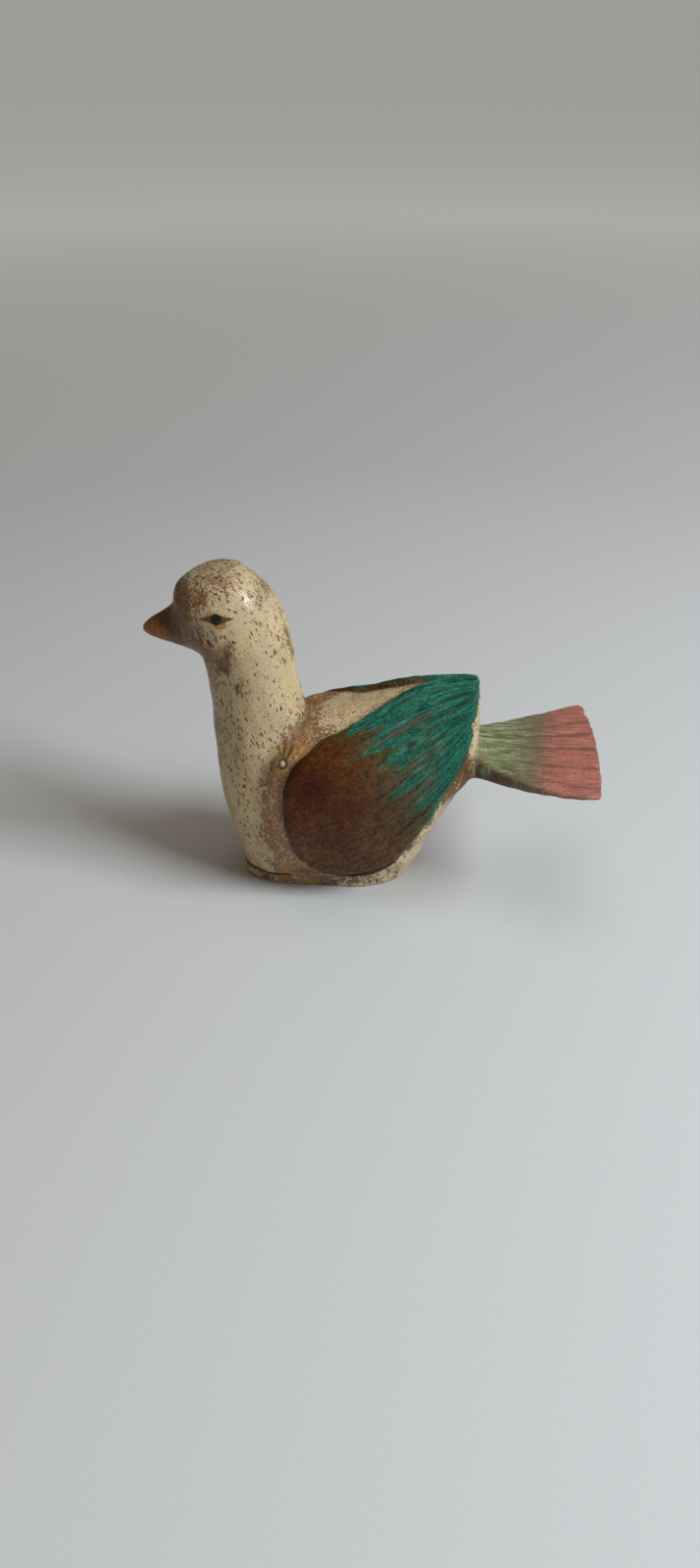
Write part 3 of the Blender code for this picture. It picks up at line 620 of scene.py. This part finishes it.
def attr(name):
    n = node("ShaderNodeAttribute", attribute_name=name)
    s = node("ShaderNodeSeparateXYZ")
    tree.links.new(n.outputs["Vector"], s.inputs[0])
    return n.outputs["Vector"], s.outputs


def stretch(vector, sx, sy, sz, ox=0.0, oy=0.0, oz=0.0, turn=(0.0, 0.0, 0.0)):
    n = node("ShaderNodeMapping")
    tree.links.new(vector, n.inputs[0])
    n.inputs["Location"].default_value = (ox, oy, oz)
    n.inputs["Rotation"].default_value = turn
    n.inputs["Scale"].default_value = (sx, sy, sz)
    return n.outputs[0]


def noise(vector, scale=1.0, detail=2.0, rough=0.5, distort=0.0):
    n = node("ShaderNodeTexNoise")
    tree.links.new(vector, n.inputs["Vector"])
    n.inputs["Scale"].default_value = scale
    n.inputs["Detail"].default_value = detail
    n.inputs["Roughness"].default_value = rough
    n.inputs["Distortion"].default_value = distort
    return n.outputs[0]


def voronoi(vector, scale=1.0, jitter=1.0):
    n = node("ShaderNodeTexVoronoi")
    tree.links.new(vector, n.inputs["Vector"])
    n.inputs["Scale"].default_value = scale
    n.inputs["Randomness"].default_value = jitter
    s = node("ShaderNodeSeparateColor")
    tree.links.new(n.outputs["Color"], s.inputs[0])
    return n.outputs["Distance"], s.outputs[0], s.outputs[1]


def bend(vector, amount, scale):
    """the vector pushed about by noise"""
    n = node("ShaderNodeTexNoise")
    tree.links.new(vector, n.inputs["Vector"])
    n.inputs["Scale"].default_value = scale
    n.inputs["Detail"].default_value = 2.0
    m = node("ShaderNodeVectorMath", operation="MULTIPLY_ADD")
    tree.links.new(n.outputs["Color"], m.inputs[0])
    m.inputs[1].default_value = (amount,) * 3
    tree.links.new(vector, m.inputs[2])
    return m.outputs[0]


region_v, (wing_a, tail_a, beak_a) = attr("region")
age_and_shade_v, (brown_a, fleck_a, hollow_patina_and_shade_a) = attr("age_and_shade")
wear_v, (edge_a, haze_a, groove_a) = attr("wear")
feather_v, (run_a, across_a, side_a) = attr("feather")
green_v, (stroke_a, teal_a, bare_a) = attr("green")
glaze_v, (red_a, orange_a, inner_a) = attr("glaze")
marks_v, (knob_a, near_a, foot_line_a) = attr("marks")
shade_v, (shade_a, nape_a, rump_a) = attr("shade")
root_v, (beak_root_dark_a, deepest_shadow_a, gutter_a) = attr("root")
place_v, (px, py, pz) = attr("place")        # mm in the bird frame

# ---- cream paint: small brush dashes and pores where the brown below shows
tilted = bend(stretch(place_v, 1.0, 1.0, 1.0, turn=(0.0, 0.30, 0.0)), 1.3, 0.35)
head_tilted = bend(stretch(place_v, 1.0, 1.0, 1.0, turn=(0.0, 0.85, 0.2)), 1.6, 0.30)


def dashes(sx, sy, sz, radius, offset, chance_lo, chance_hi, lean=None):
    """scattered strokes: how far inside one, in parts of its radius"""
    v = stretch(lean or tilted, sx, sy, sz, ox=offset, oy=offset * 1.7, oz=offset * 0.6)
    distance, pick, size = voronoi(v)
    r = mul(ramp(size, 0.0, 1.0, 0.5, 1.15, smooth=False), radius)
    r = mul(r, add(0.85, mul(haze_a, 0.45)))
    chance = ramp(fleck_a, 0.0, 1.0, chance_lo, chance_hi, smooth=False)
    return sub(mul(math_node("LESS_THAN", pick, chance), sub(2.0, math_node("DIVIDE", distance, r))), 1.0)


ragged = noise(place_v, 2.6, 3.0, 0.6)
on_crown = ramp(add(pz, mul(px, -0.15)), 93.0, 98.0)
fine_dash = dashes(1.5, 1.5, 0.48, 0.42, 0.0, 0.0, 1.0)
fine_head = dashes(1.6, 1.6, 0.48, 0.42, 1.7, 0.0, 1.0, lean=head_tilted)
mid_dash = dashes(1.0, 1.0, 0.32, 0.34, 15.1, -0.10, 0.95)
mid_head = dashes(1.0, 1.0, 0.32, 0.34, 17.3, -0.10, 0.95, lean=head_tilted)
big_dash = dashes(0.62, 0.62, 0.24, 0.25, 3.1, -0.12, 0.70)
big_head = dashes(0.62, 0.62, 0.24, 0.25, 5.3, -0.12, 0.70, lean=head_tilted)
small_dash = dashes(2.7, 2.7, 1.1, 0.40, 7.3, 0.05, 0.75)
pores = dashes(0.66, 0.66, 0.60, 0.17, 11.9, 0.10, 0.34)
specks = biggest(mixf(on_crown, fine_dash, fine_head), mixf(on_crown, big_dash, big_head))
specks = biggest(biggest(specks, mixf(on_crown, mid_dash, mid_head)), biggest(small_dash, pores))
smear_n = noise(stretch(tilted, 1.0, 1.0, 0.42), 0.50, 5.0, 0.66)
grain_n = noise(stretch(tilted, 1.3, 1.3, 0.6), 1.0, 4.0, 0.65)
crackle = noise(stretch(tilted, 1.0, 1.0, 0.6, ox=4.0), 1.35, 4.0, 0.74)
specks = add(specks, mul(sub(noise(place_v, 2.2, 2.0, 0.6), 0.5), 0.9))
speck_core = ramp(specks, 0.10, 0.32)
speck_rim = ramp(specks, -0.10, 0.08)
haze_cover = ramp(add(add(mul(smear_n, 0.35), mul(crackle, 0.65)), mul(haze_a, 0.195)), 0.60, 0.655)
brown_value = add(add(mul(smear_n, 0.30), mul(crackle, 0.70)), mul(brown_a, 0.245))
brown_cover = ramp(brown_value, 0.605, 0.645)
brown_rim = mul(ramp(brown_value, 0.600, 0.630), ramp(brown_value, 0.645, 0.700, 1.0, 0.0))
wash = ramp(add(smear_n, mul(haze_a, 0.5)), 0.50, 1.0, 0.0, 0.55)
grit = noise(place_v, 1.5, 3.0, 0.72)
below = biggest(biggest(mul(speck_rim, 0.60), mul(haze_cover, 0.9)), brown_cover)
below = biggest(below, speck_core)

tone = noise(place_v, 0.09, 3.0, 0.5)
cream = mix(ramp(tone, 0.35, 0.65), (0.530, 0.428, 0.265), (0.590, 0.475, 0.290))
yellow = mul(ramp(px, -16.0, -7.0), ramp(pz, 58.0, 70.0))
cream = mix(mul(yellow, 0.5), cream, (0.58, 0.470, 0.235))
cream = mix(mul(mul(ramp(px, -12.0, -20.0), ramp(pz, 96.0, 86.0)), 0.60), cream, (0.560, 0.410, 0.205))
cream = mix(wash, cream, (0.30, 0.195, 0.105))
cream = mix(ramp(grit, 0.48, 0.72, 0.0, 0.40), cream, (0.42, 0.31, 0.17))
cream = mix(mul(brown_a, 0.30), cream, (0.38, 0.255, 0.135))
earth = mix(ramp(grain_n, 0.40, 0.60), (0.165, 0.072, 0.023), (0.340, 0.195, 0.082))
streaky = noise(stretch(tilted, 1.0, 1.0, 0.45, ox=21.0), 1.0, 3.0, 0.62)
earth = mix(ramp(streaky, 0.52, 0.62, 0.0, 0.60), earth, (0.070, 0.029, 0.010))
earth = mix(ramp(streaky, 0.44, 0.38, 0.0, 0.55), earth, (0.500, 0.330, 0.165))
earth = mix(mul(brown_rim, 0.70), earth, (0.055, 0.022, 0.008))
earth = mix(ramp(grit, 0.53, 0.62, 0.0, 0.45), earth, (0.050, 0.021, 0.008))
# painted shade: the brown on the rump and on the tail's down-facing sides is darkened
earth = mix(mul(rump_a, 0.60), earth, (0.110, 0.042, 0.010))
earth = mix(mul(ramp(haze_a, 0.3, 1.0), 0.45), earth, (0.120, 0.046, 0.010))
earth = mix(mul(gutter_a, 0.30), earth, (0.250, 0.120, 0.040))
# painted light: the brown in the gutter before the wing is lightened against the shade of the raised wing
earth = scale(earth, add(1.0, mul(gutter_a, 0.68)))
fleck_dark = mix(ramp(noise(place_v, 0.5, 2.0, 0.5), 0.4, 0.6), (0.068, 0.021, 0.003), (0.215, 0.082, 0.018))
earth = mix(mul(speck_core, sub(1.0, mul(brown_cover, 0.4))), earth, fleck_dark)
cream = scale(cream, add(1.0, mul(ramp(pz, 56.0, 36.0), ramp(px, 10.0, 26.0, 0.10, 0.30))))
# painted light: the cream on the top of the back is lightened
cream = scale(cream, add(1.0, mul(mul(ramp(pz, 52.0, 57.0), ramp(px, -6.0, 2.0)), 0.16)))
cream = scale(cream, sub(1.0, mul(mul(ramp(px, -4.0, -11.0), ramp(pz, 42.0, 62.0)), 0.06)))
body_colour = mix(below, cream, earth)
# darker in the hollows: patina and painted shade
body_colour = mix(mul(hollow_patina_and_shade_a, 0.45), body_colour, (0.060, 0.028, 0.012))
body_colour = mix(mul(ramp(add(foot_line_a, mul(sub(ragged, 0.5), 0.8)), 0.35, 0.8), 0.85), body_colour, (0.060, 0.030, 0.012))
# painted shadow under the wing's lower edge, darkest along its outer edge
body_colour = mix(mul(ramp(add(shade_a, mul(sub(ragged, 0.5), 0.9)), 0.35, 0.80), 0.93), body_colour, mix(deepest_shadow_a, (0.075, 0.036, 0.016), (0.014, 0.006, 0.003)))
ring_at = mul(ramp(add(magnitude(sub(knob_a, 1.35)), mul(sub(ragged, 0.5), 1.3)), 0.20, 0.65, 1.0, 0.0), near_a)
body_colour = mix(mul(ring_at, 0.85), body_colour, (0.075, 0.032, 0.012))
body_colour = mix(mul(ramp(add(knob_a, mul(sub(ragged, 0.5), 0.4)), 0.78, 1.02, 1.0, 0.0), near_a), body_colour, (0.60, 0.46, 0.33))
# green smears where the wing meets the foot, ochre strokes over the plug by the shoulder
smear_at = add(math_node("POWER", mul(add(px, 4.5), 0.22), 2.0), math_node("POWER", mul(sub(pz, 7.8), 0.33), 2.0))
smear = mul(ramp(add(smear_at, mul(crackle, 4.0)), 2.0, 2.7, 1.0, 0.0), ramp(magnitude(py), 6.0, 9.0))
body_colour = mix(mul(smear, 0.75), body_colour, (0.035, 0.062, 0.034))
fan = math_node("ARCTAN2", add(px, 9.8), sub(pz, 49.0))
ochre_lines = math_node("SINE", add(mul(fan, 15.0), mul(ragged, 2.5)))
ochre_at = mul(ramp(magnitude(fan), 0.45, 0.75, 1.0, 0.0), mul(ramp(knob_a, 1.6, 2.2), ramp(add(knob_a, mul(ragged, 3.0)), 6.8, 8.2, 1.0, 0.0)))
ochre_at = mul(mul(ochre_at, ramp(pz, 50.5, 52.0)), near_a)
body_colour = mix(mul(ochre_at, 0.45), body_colour, (0.46, 0.29, 0.07))
body_colour = mix(mul(mul(ochre_at, ramp(ochre_lines, 0.2, 0.6)), 0.90), body_colour, (0.115, 0.050, 0.011))

# ---- eye: brown almond with a dark pupil and an ochre patch below
ex, ez = sub(px, EYE[0]), sub(pz, EYE[1])
wobble = mul(sub(ragged, 0.5), 0.9)
on_head = mul(ramp(magnitude(py), 6.0, 8.0), ramp(pz, 85.0, 87.0))
lid = sub(1.0, math_node("POWER", mul(magnitude(ex), 0.205), 0.95))
almond = ramp(add(sub(magnitude(sub(ez, mul(ex, 0.02))), mul(biggest(lid, 0.0), 1.65)), wobble), -0.25, 0.15, 1.0, 0.0)
almond = mul(mul(almond, ramp(magnitude(ex), 4.4, 5.0, 1.0, 0.0)), on_head)
pupil = math_node("SQRT", add(math_node("POWER", mul(sub(ex, -0.1), 0.95), 2.0), math_node("POWER", sub(ez, 0.05), 2.0)))
pupil = mul(ramp(add(pupil, mul(wobble, 0.6)), 1.2, 1.6, 1.0, 0.0), on_head)
iris = add(math_node("POWER", mul(sub(ex, 0.9), 0.55), 2.0), math_node("POWER", mul(add(ez, 1.55), 0.95), 2.0))
iris = mul(ramp(add(iris, mul(wobble, 1.0)), 0.70, 1.35, 1.0, 0.0), on_head)
iris_up = add(math_node("POWER", mul(add(ex, 1.3), 0.6), 2.0), math_node("POWER", mul(sub(ez, 1.45), 1.1), 2.0))
iris_up = mul(ramp(add(iris_up, mul(wobble, 0.8)), 0.35, 0.75, 0.7, 0.0), on_head)
body_colour = mix(mul(biggest(iris, iris_up), ramp(ragged, 0.30, 0.50, 0.55, 0.95)), body_colour, (0.300, 0.140, 0.020))
almond_colour = mix(ramp(ragged, 0.40, 0.62), (0.125, 0.042, 0.011), (0.034, 0.013, 0.005))
body_colour = mix(mul(almond, 0.95), body_colour, almond_colour)
body_colour = mix(pupil, body_colour, (0.008, 0.005, 0.002))

# ---- beak: ochre with a dark ridge and a brown root
ridge = ramp(add(add(sub(pz, 84.2), mul(add(px, 46.0), 0.10)), mul(sub(ragged, 0.5), 1.2)), 0.6, 3.4)
beak_colour = mix(ramp(noise(place_v, 0.7, 3.0, 0.6), 0.35, 0.7), (0.25, 0.098, 0.009), (0.37, 0.160, 0.017))
beak_colour = mix(mul(ridge, 0.92), beak_colour, (0.085, 0.043, 0.018))
beak_colour = mix(ramp(add(px, mul(ragged, 1.6)), -42.0, -40.0, 0.0, 0.70), beak_colour, (0.105, 0.050, 0.019))
beak_edge = ramp(add(beak_a, mul(sub(ragged, 0.5), 1.6)), 0.3, 0.75)
body_colour = mix(beak_edge, body_colour, beak_colour)
# dark brown mottling at the root of the beak
beak_root_cover = ramp(add(add(mul(ragged, 0.25), mul(crackle, 0.75)), mul(beak_root_dark_a, 0.155)), 0.585, 0.640)
body_colour = mix(mul(beak_root_cover, 0.85), body_colour, mix(ramp(grit, 0.44, 0.60), (0.125, 0.056, 0.019), (0.042, 0.017, 0.005)))

# ---- wing ground: red-brown glaze, mottled, darker and greyer below
mottle = noise(place_v, 0.10, 4.0, 0.6)
mottle_small = noise(place_v, 0.55, 4.0, 0.65)
wing_ground = mix(ramp(mottle, 0.38, 0.62), (0.086, 0.033, 0.012), (0.108, 0.050, 0.019))
wing_ground = mix(mul(red_a, 0.90), wing_ground, (0.064, 0.0055, 0.0010))
wing_ground = mix(mul(orange_a, ramp(mottle_small, 0.35, 0.6, 0.45, 0.95)), wing_ground, (0.084, 0.0145, 0.0018))
wing_ground = mix(ramp(mottle_small, 0.45, 0.72, 0.0, 0.38), wing_ground, (0.078, 0.032, 0.009))
wing_ground = mix(ramp(pz, 34.0, 16.0, 0.0, 0.75), wing_ground, (0.108, 0.055, 0.031))
wing_ground = mix(ramp(stroke_a, -15.0, 3.0, 0.0, 0.80), wing_ground, (0.070, 0.077, 0.033))
dust_and_glints = noise(place_v, 2.0, 4.0, 0.75)
wing_ground = mix(ramp(noise(place_v, 0.8, 4.0, 0.7, 0.6), 0.48, 0.60, 0.0, 0.66), wing_ground, (0.028, 0.009, 0.002))
wing_ground = mix(ramp(noise(place_v, 0.33, 4.0, 0.68, 0.8), 0.52, 0.64, 0.0, 0.40), wing_ground, (0.140, 0.046, 0.012))
# light specks, more of them low on the wing: dust and painted glints
wing_ground = mix(ramp(add(dust_and_glints, mul(ramp(pz, 40.0, 18.0), 0.03)), 0.625, 0.68, 0.0, 0.75), wing_ground, (0.31, 0.19, 0.105))
chalk = noise(stretch(place_v, 1.0, 1.0, 1.0, ox=31.0), 0.62, 5.0, 0.78)
wing_ground = mix(mul(ramp(chalk, 0.595, 0.655, 0.0, 0.62), ramp(pz, 44.0, 30.0)), wing_ground, (0.270, 0.185, 0.150))
# ---- green drawn over it along the feathers, ragged at its start and dry between the bristles
bristle = noise(stretch(feather_v, 0.035, 0.45, 1.0), 1.0, 3.0, 0.6)
hair = noise(stretch(feather_v, 0.10, 1.15, 1.0, ox=5.0), 1.0, 4.0, 0.68)
dry = noise(stretch(feather_v, 0.30, 1.0, 1.0, ox=9.0), 1.0, 4.0, 0.70)
blot = noise(place_v, 0.9, 4.0, 0.7)
reach = add(stroke_a, mul(sub(bristle, 0.5), 30.0))
reach = add(reach, mul(sub(hair, 0.5), 16.0))
cover = ramp(reach, -1.0, 4.0)
low_lines = mul(ramp(add(mul(hair, 0.6), mul(dry, 0.4)), 0.50, 0.60), mul(ramp(px, 4.0, 15.0), ramp(pz, 40.0, 28.0)))
low_dark = mul(ramp(add(mul(hair, 0.5), mul(dry, 0.5)), 0.48, 0.40), mul(ramp(px, 4.0, 15.0), ramp(pz, 40.0, 28.0)))
wing_ground = mix(mul(low_lines, 0.28), wing_ground, (0.190, 0.138, 0.105))
wing_ground = mix(mul(low_dark, 0.50), wing_ground, (0.030, 0.014, 0.007))
cover = mul(cover, sub(1.0, mul(bare_a, ramp(hair, 0.30, 0.62, 1.0, 0.45))))
cover = mul(cover, ramp(add(dry, mul(ramp(stroke_a, 0.0, 12.0), 0.12)), 0.40, 0.54, 0.25, 1.0))
inside_stroke = add(teal_a, add(mul(sub(hair, 0.5), 1.6), mul(sub(blot, 0.5), 2.2)))
inside_stroke = sub(inside_stroke, mul(groove_a, 0.5))
bright = ramp(sub(inside_stroke, mul(bare_a, 1.6)), -0.35, 0.25)
bright = mul(bright, ramp(noise(stretch(feather_v, 0.10, 0.30, 1.0, ox=17.0), 1.0, 3.0, 0.6), 0.36, 0.50, 0.55, 1.0))
bright = mul(bright, ramp(add(dry, mul(ramp(teal_a, 0.0, 1.2), 0.16)), 0.36, 0.50, 0.40, 1.0))
bright = biggest(bright, mul(ramp(px, 33.0, 38.0), ramp(dry, 0.34, 0.46, 0.50, 0.95)))
green_dark = mix(ramp(dry, 0.40, 0.60), (0.014, 0.066, 0.042), (0.052, 0.175, 0.118))
green_dark = mix(mul(ramp(pz, 50.0, 38.0), ramp(px, 36.0, 30.0, 0.1, 0.5)), green_dark, (0.062, 0.112, 0.064))
green_bright = mix(ramp(add(mul(hair, 0.5), mul(grit, 0.5)), 0.40, 0.60), (0.013, 0.052, 0.036), (0.026, 0.188, 0.132))
green_bright = mix(ramp(add(mul(hair, 0.6), mul(dry, 0.4)), 0.56, 0.66, 0.0, 0.6), green_bright, (0.055, 0.300, 0.225))
wing_colour = mix(mul(cover, 0.9), wing_ground, green_dark)
wing_colour = mix(mul(bare_a, ramp(dry, 0.36, 0.62, 0.25, 0.85)), wing_colour, (0.120, 0.088, 0.080))
wing_colour = mix(bright, wing_colour, green_bright)
wing_colour = mix(mul(ramp(groove_a, 0.25, 0.9), ramp(hair, 0.35, 0.65, 0.20, 0.75)), wing_colour, (0.018, 0.038, 0.027))
scratch = ramp(noise(stretch(feather_v, 0.12, 1.7, 1.0, oy=3.0), 1.0, 3.0, 0.6), 0.62, 0.70)
wing_colour = mix(mul(mul(scratch, ramp(stroke_a, -6.0, 6.0)), 0.35), wing_colour, (0.15, 0.20, 0.15))
wing_colour = mix(mul(ramp(edge_a, 0.35, 0.8), ramp(dry, 0.45, 0.65, 0.0, 0.4)), wing_colour, (0.05, 0.20, 0.14))
# darker in the wing's hollows: patina and painted shade
wing_colour = mix(mul(hollow_patina_and_shade_a, 0.35), wing_colour, (0.02, 0.015, 0.01))
inner_colour = mix(ramp(grain_n, 0.35, 0.65), (0.10, 0.055, 0.028), (0.22, 0.135, 0.068))
wing_colour = mix(ramp(add(inner_a, mul(sub(ragged, 0.5), 0.6)), 0.3, 0.6), wing_colour, inner_colour)

# ---- tail: olive green at the root, grey olive, then rose, streaked lengthwise with brown
tail_x = add(px, mul(sub(noise(stretch(feather_v, 0.12, 0.8, 1.0), 1.0, 3.0, 0.6), 0.5), 9.0))
tail_x = add(tail_x, mul(py, -0.10))
olive = mix(ramp(noise(stretch(feather_v, 0.14, 0.6, 1.0, ox=3.0), 1.0, 4.0, 0.65), 0.38, 0.62), (0.150, 0.150, 0.065), (0.320, 0.400, 0.230))
olive_grey = (0.185, 0.150, 0.090)
rose = mix(ramp(noise(stretch(feather_v, 0.10, 0.9, 1.0, ox=8.0), 1.0, 4.0, 0.6), 0.35, 0.65), (0.36, 0.125, 0.095), (0.50, 0.185, 0.150))
tail_colour = mix(ramp(tail_x, 54.0, 63.0), olive, olive_grey)
tail_colour = mix(ramp(tail_x, 62.0, 69.0), tail_colour, rose)
streak = ramp(noise(stretch(feather_v, 0.07, 0.85, 1.0, oy=6.0), 1.0, 4.0, 0.68), 0.54, 0.66)
tail_colour = mix(mul(streak, 0.55), tail_colour, (0.115, 0.068, 0.038))
tail_colour = mix(mul(groove_a, 0.60), tail_colour, (0.100, 0.055, 0.035))
speck_tail = ramp(noise(stretch(feather_v, 0.45, 1.0, 1.0), 1.0, 4.0, 0.75), 0.58, 0.66)
tail_colour = mix(mul(speck_tail, 0.55), tail_colour, (0.085, 0.045, 0.022))
tail_colour = mix(ramp(grit, 0.50, 0.62, 0.0, 0.50), tail_colour, (0.110, 0.062, 0.032))
tail_side = ramp(add(brown_a, mul(sub(smear_n, 0.5), 1.2)), 0.35, 0.75)
tail_colour = mix(mul(tail_side, ramp(px, 66.0, 50.0)), tail_colour, (0.125, 0.070, 0.035))
tail_colour = mix(mul(ramp(edge_a, 0.35, 0.85), ramp(dry, 0.42, 0.60, 0.0, 0.75)), tail_colour, (0.17, 0.10, 0.06))

fine_grain = noise(place_v, 2.3, 3.0, 0.72)
hair_fine = noise(stretch(feather_v, 0.16, 2.1, 1.0, ox=13.0), 1.0, 3.0, 0.65)
wing_colour = scale(wing_colour, add(1.0, add(mul(sub(fine_grain, 0.5), 2.0), mul(mul(sub(hair_fine, 0.5), 2.6), ramp(stroke_a, -14.0, 2.0, 0.15, 1.0)))))
tail_colour = scale(tail_colour, add(1.0, add(mul(sub(fine_grain, 0.5), 0.9), mul(sub(hair_fine, 0.5), 1.6))))
body_colour = scale(body_colour, add(1.0, mul(sub(fine_grain, 0.5), 0.55)))
colour = mix(ramp(add(tail_a, mul(sub(ragged, 0.5), 0.5)), 0.35, 0.65), body_colour, tail_colour)
wing_edge = ramp(add(wing_a, mul(sub(ragged, 0.5), 0.5)), 0.35, 0.65)
colour = mix(wing_edge, colour, wing_colour)

# ---- surface: satin wax over brushed paint; bare brown lies lower than the cream
brush = noise(stretch(tilted, 1.6, 1.6, 0.35, ox=2.0), 1.0, 3.0, 0.6)
orange_peel = noise(place_v, 1.5, 3.0, 0.5)
body_height = add(mul(sub(1.0, below), 0.55), add(mul(brush, 0.30), mul(orange_peel, 0.22)))
wing_height = add(mul(cover, 0.35), add(mul(hair, 0.75), mul(dry, 0.55)))
tail_height = add(mul(noise(stretch(feather_v, 0.10, 1.4, 1.0), 1.0, 4.0, 0.6), 1.0), mul(speck_tail, -0.3))
relief_height = mixf(tail_a, body_height, tail_height)
relief_height = mixf(wing_a, relief_height, mixf(ramp(stroke_a, -12.0, 2.0), add(mul(mottle_small, 0.30), mul(orange_peel, 0.15)), wing_height))
bump = node("ShaderNodeBump")
bump.inputs["Strength"].default_value = 0.75
bump.inputs["Distance"].default_value = 0.00022
put(bump.inputs["Height"], relief_height)

rough_body = add(0.26, add(mul(below, 0.26), mul(sub(brush, 0.5), 0.14)))
rough_wing = add(0.32, add(mul(cover, 0.12), mul(sub(mottle_small, 0.5), 0.22)))
rough_tail = add(0.50, mul(sub(streak, 0.5), 0.12))
rough = mixf(tail_a, rough_body, rough_tail)
rough = mixf(wing_a, rough, rough_wing)

shader = node("ShaderNodeBsdfPrincipled")
put(shader.inputs["Base Color"], colour)
put(shader.inputs["Roughness"], rough)
shader.inputs["Specular IOR Level"].default_value = 0.42
put(shader.inputs["Normal"], bump.outputs[0])
out = node("ShaderNodeOutputMaterial")
tree.links.new(shader.outputs[0], out.inputs[0])
mesh.materials.append(paint)
duller = paint.copy()
duller.name = "aged_wing_glaze"
next(n for n in duller.node_tree.nodes if n.type == "BSDF_PRINCIPLED").inputs["Specular IOR Level"].default_value = 0.08
mesh.materials.append(duller)
mesh.polygons.foreach_set("material_index", (np.maximum(wing_mask, painted_shadow_under_wing)[Q].mean(1) > 0.5).astype(np.int32))

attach(bird, "root")
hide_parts("wooden_bird")


# ==================================================================== table, light, camera
def mm(p):
    return Vector([(a - s) * 0.001 for a, s in zip(p, SHIFT)])


bpy.ops.mesh.primitive_plane_add(size=400.0, location=(0.0, 0.0, 0.0))
table = bpy.context.object
table.name = "table_top"
top = bpy.data.materials.new("pale_table")
top.use_nodes = True
nodes = top.node_tree.nodes
surface_shader = nodes["Principled BSDF"]
coord = nodes.new("ShaderNodeTexCoord")
grit = nodes.new("ShaderNodeTexNoise")
grit.inputs["Scale"].default_value = 900.0
grit.inputs["Detail"].default_value = 3.0
shade = nodes.new("ShaderNodeMix")
shade.data_type = "RGBA"
shade.inputs[6].default_value = (0.60, 0.615, 0.64, 1.0)
shade.inputs[7].default_value = (0.645, 0.66, 0.68, 1.0)
top.node_tree.links.new(coord.outputs["Object"], grit.inputs["Vector"])
top.node_tree.links.new(grit.outputs[0], shade.inputs[0])
top.node_tree.links.new(shade.outputs[2], surface_shader.inputs["Base Color"])
surface_shader.inputs["Roughness"].default_value = 0.55
# the far floor, out of the lights' reach, keeps the paleness of the near one
reach_out = nodes.new("ShaderNodeVectorMath")
reach_out.operation = "LENGTH"
glow = nodes.new("ShaderNodeMapRange")
glow.inputs["From Min"].default_value = 0.38
glow.inputs["From Max"].default_value = 1.3
glow.inputs["To Min"].default_value = 0.0
glow.inputs["To Max"].default_value = 0.275
top.node_tree.links.new(coord.outputs["Object"], reach_out.inputs[0])
top.node_tree.links.new(reach_out.outputs["Value"], glow.inputs["Value"])
surface_shader.inputs["Emission Color"].default_value = (0.90, 1.0, 0.97, 1.0)
top.node_tree.links.new(glow.outputs["Result"], surface_shader.inputs["Emission Strength"])
surface_shader.inputs["Specular IOR Level"].default_value = 0.3
table.data.materials.append(top)


def area_light(name, direction, distance, size, power, colour=(1, 1, 1), aim=(0, 0, 45)):
    data = bpy.data.lights.new(name, "AREA")
    data.shape = "RECTANGLE"
    data.size, data.size_y = size
    data.energy = power
    data.color = colour
    light = bpy.data.objects.new(name, data)
    bpy.context.scene.collection.objects.link(light)
    d = Vector(direction).normalized()
    light.location = mm(aim) + d * distance
    light.rotation_euler = (-d).to_track_quat("-Z", "Y").to_euler()
    return light


area_light("window", (0.765, -0.285, 0.66), 1.03, (0.44, 0.44), 10.9, (0.94, 1.0, 1.03))
area_light("ceiling", (0.0, 0.02, 1.0), 1.3, (0.7, 0.7), 2.7, (1.0, 0.965, 0.91))

world = bpy.data.worlds.new("soft_room")
world.use_nodes = True
world.node_tree.nodes["Background"].inputs[0].default_value = (1.0, 0.77, 0.51, 1.0)
world.node_tree.nodes["Background"].inputs[1].default_value = 0.120
bpy.context.scene.world = world

# camera: 34 degrees down, 4.5 degrees round towards the tail, a phone's main lens
PITCH, YAW, FOCAL_PX = math.radians(34.0), math.radians(4.5), 1202.0
cam_data = bpy.data.cameras.new("camera")
cam_data.sensor_fit = "AUTO"
cam_data.sensor_width = 36.0
cam_data.lens = 36.0 * FOCAL_PX / 1600.0
cam_data.clip_start = 0.01
cam = bpy.data.objects.new("camera", cam_data)
bpy.context.scene.collection.objects.link(cam)
right = Vector((math.cos(YAW), math.sin(YAW), 0.0))
ahead = Vector((-math.sin(YAW), math.cos(YAW), 0.0))
up = ahead * math.sin(PITCH) + Vector((0, 0, 1)) * math.cos(PITCH)
look = ahead * math.cos(PITCH) - Vector((0, 0, 1)) * math.sin(PITCH)
cam.matrix_world = Matrix.Translation(mm((31.335, -294.657, 232.193))) @ Matrix((right, up, -look)).transposed().to_4x4()
bpy.context.scene.camera = cam
bpy.context.scene.view_settings.view_transform = "Standard"
bpy.context.scene.view_settings.look = "None"
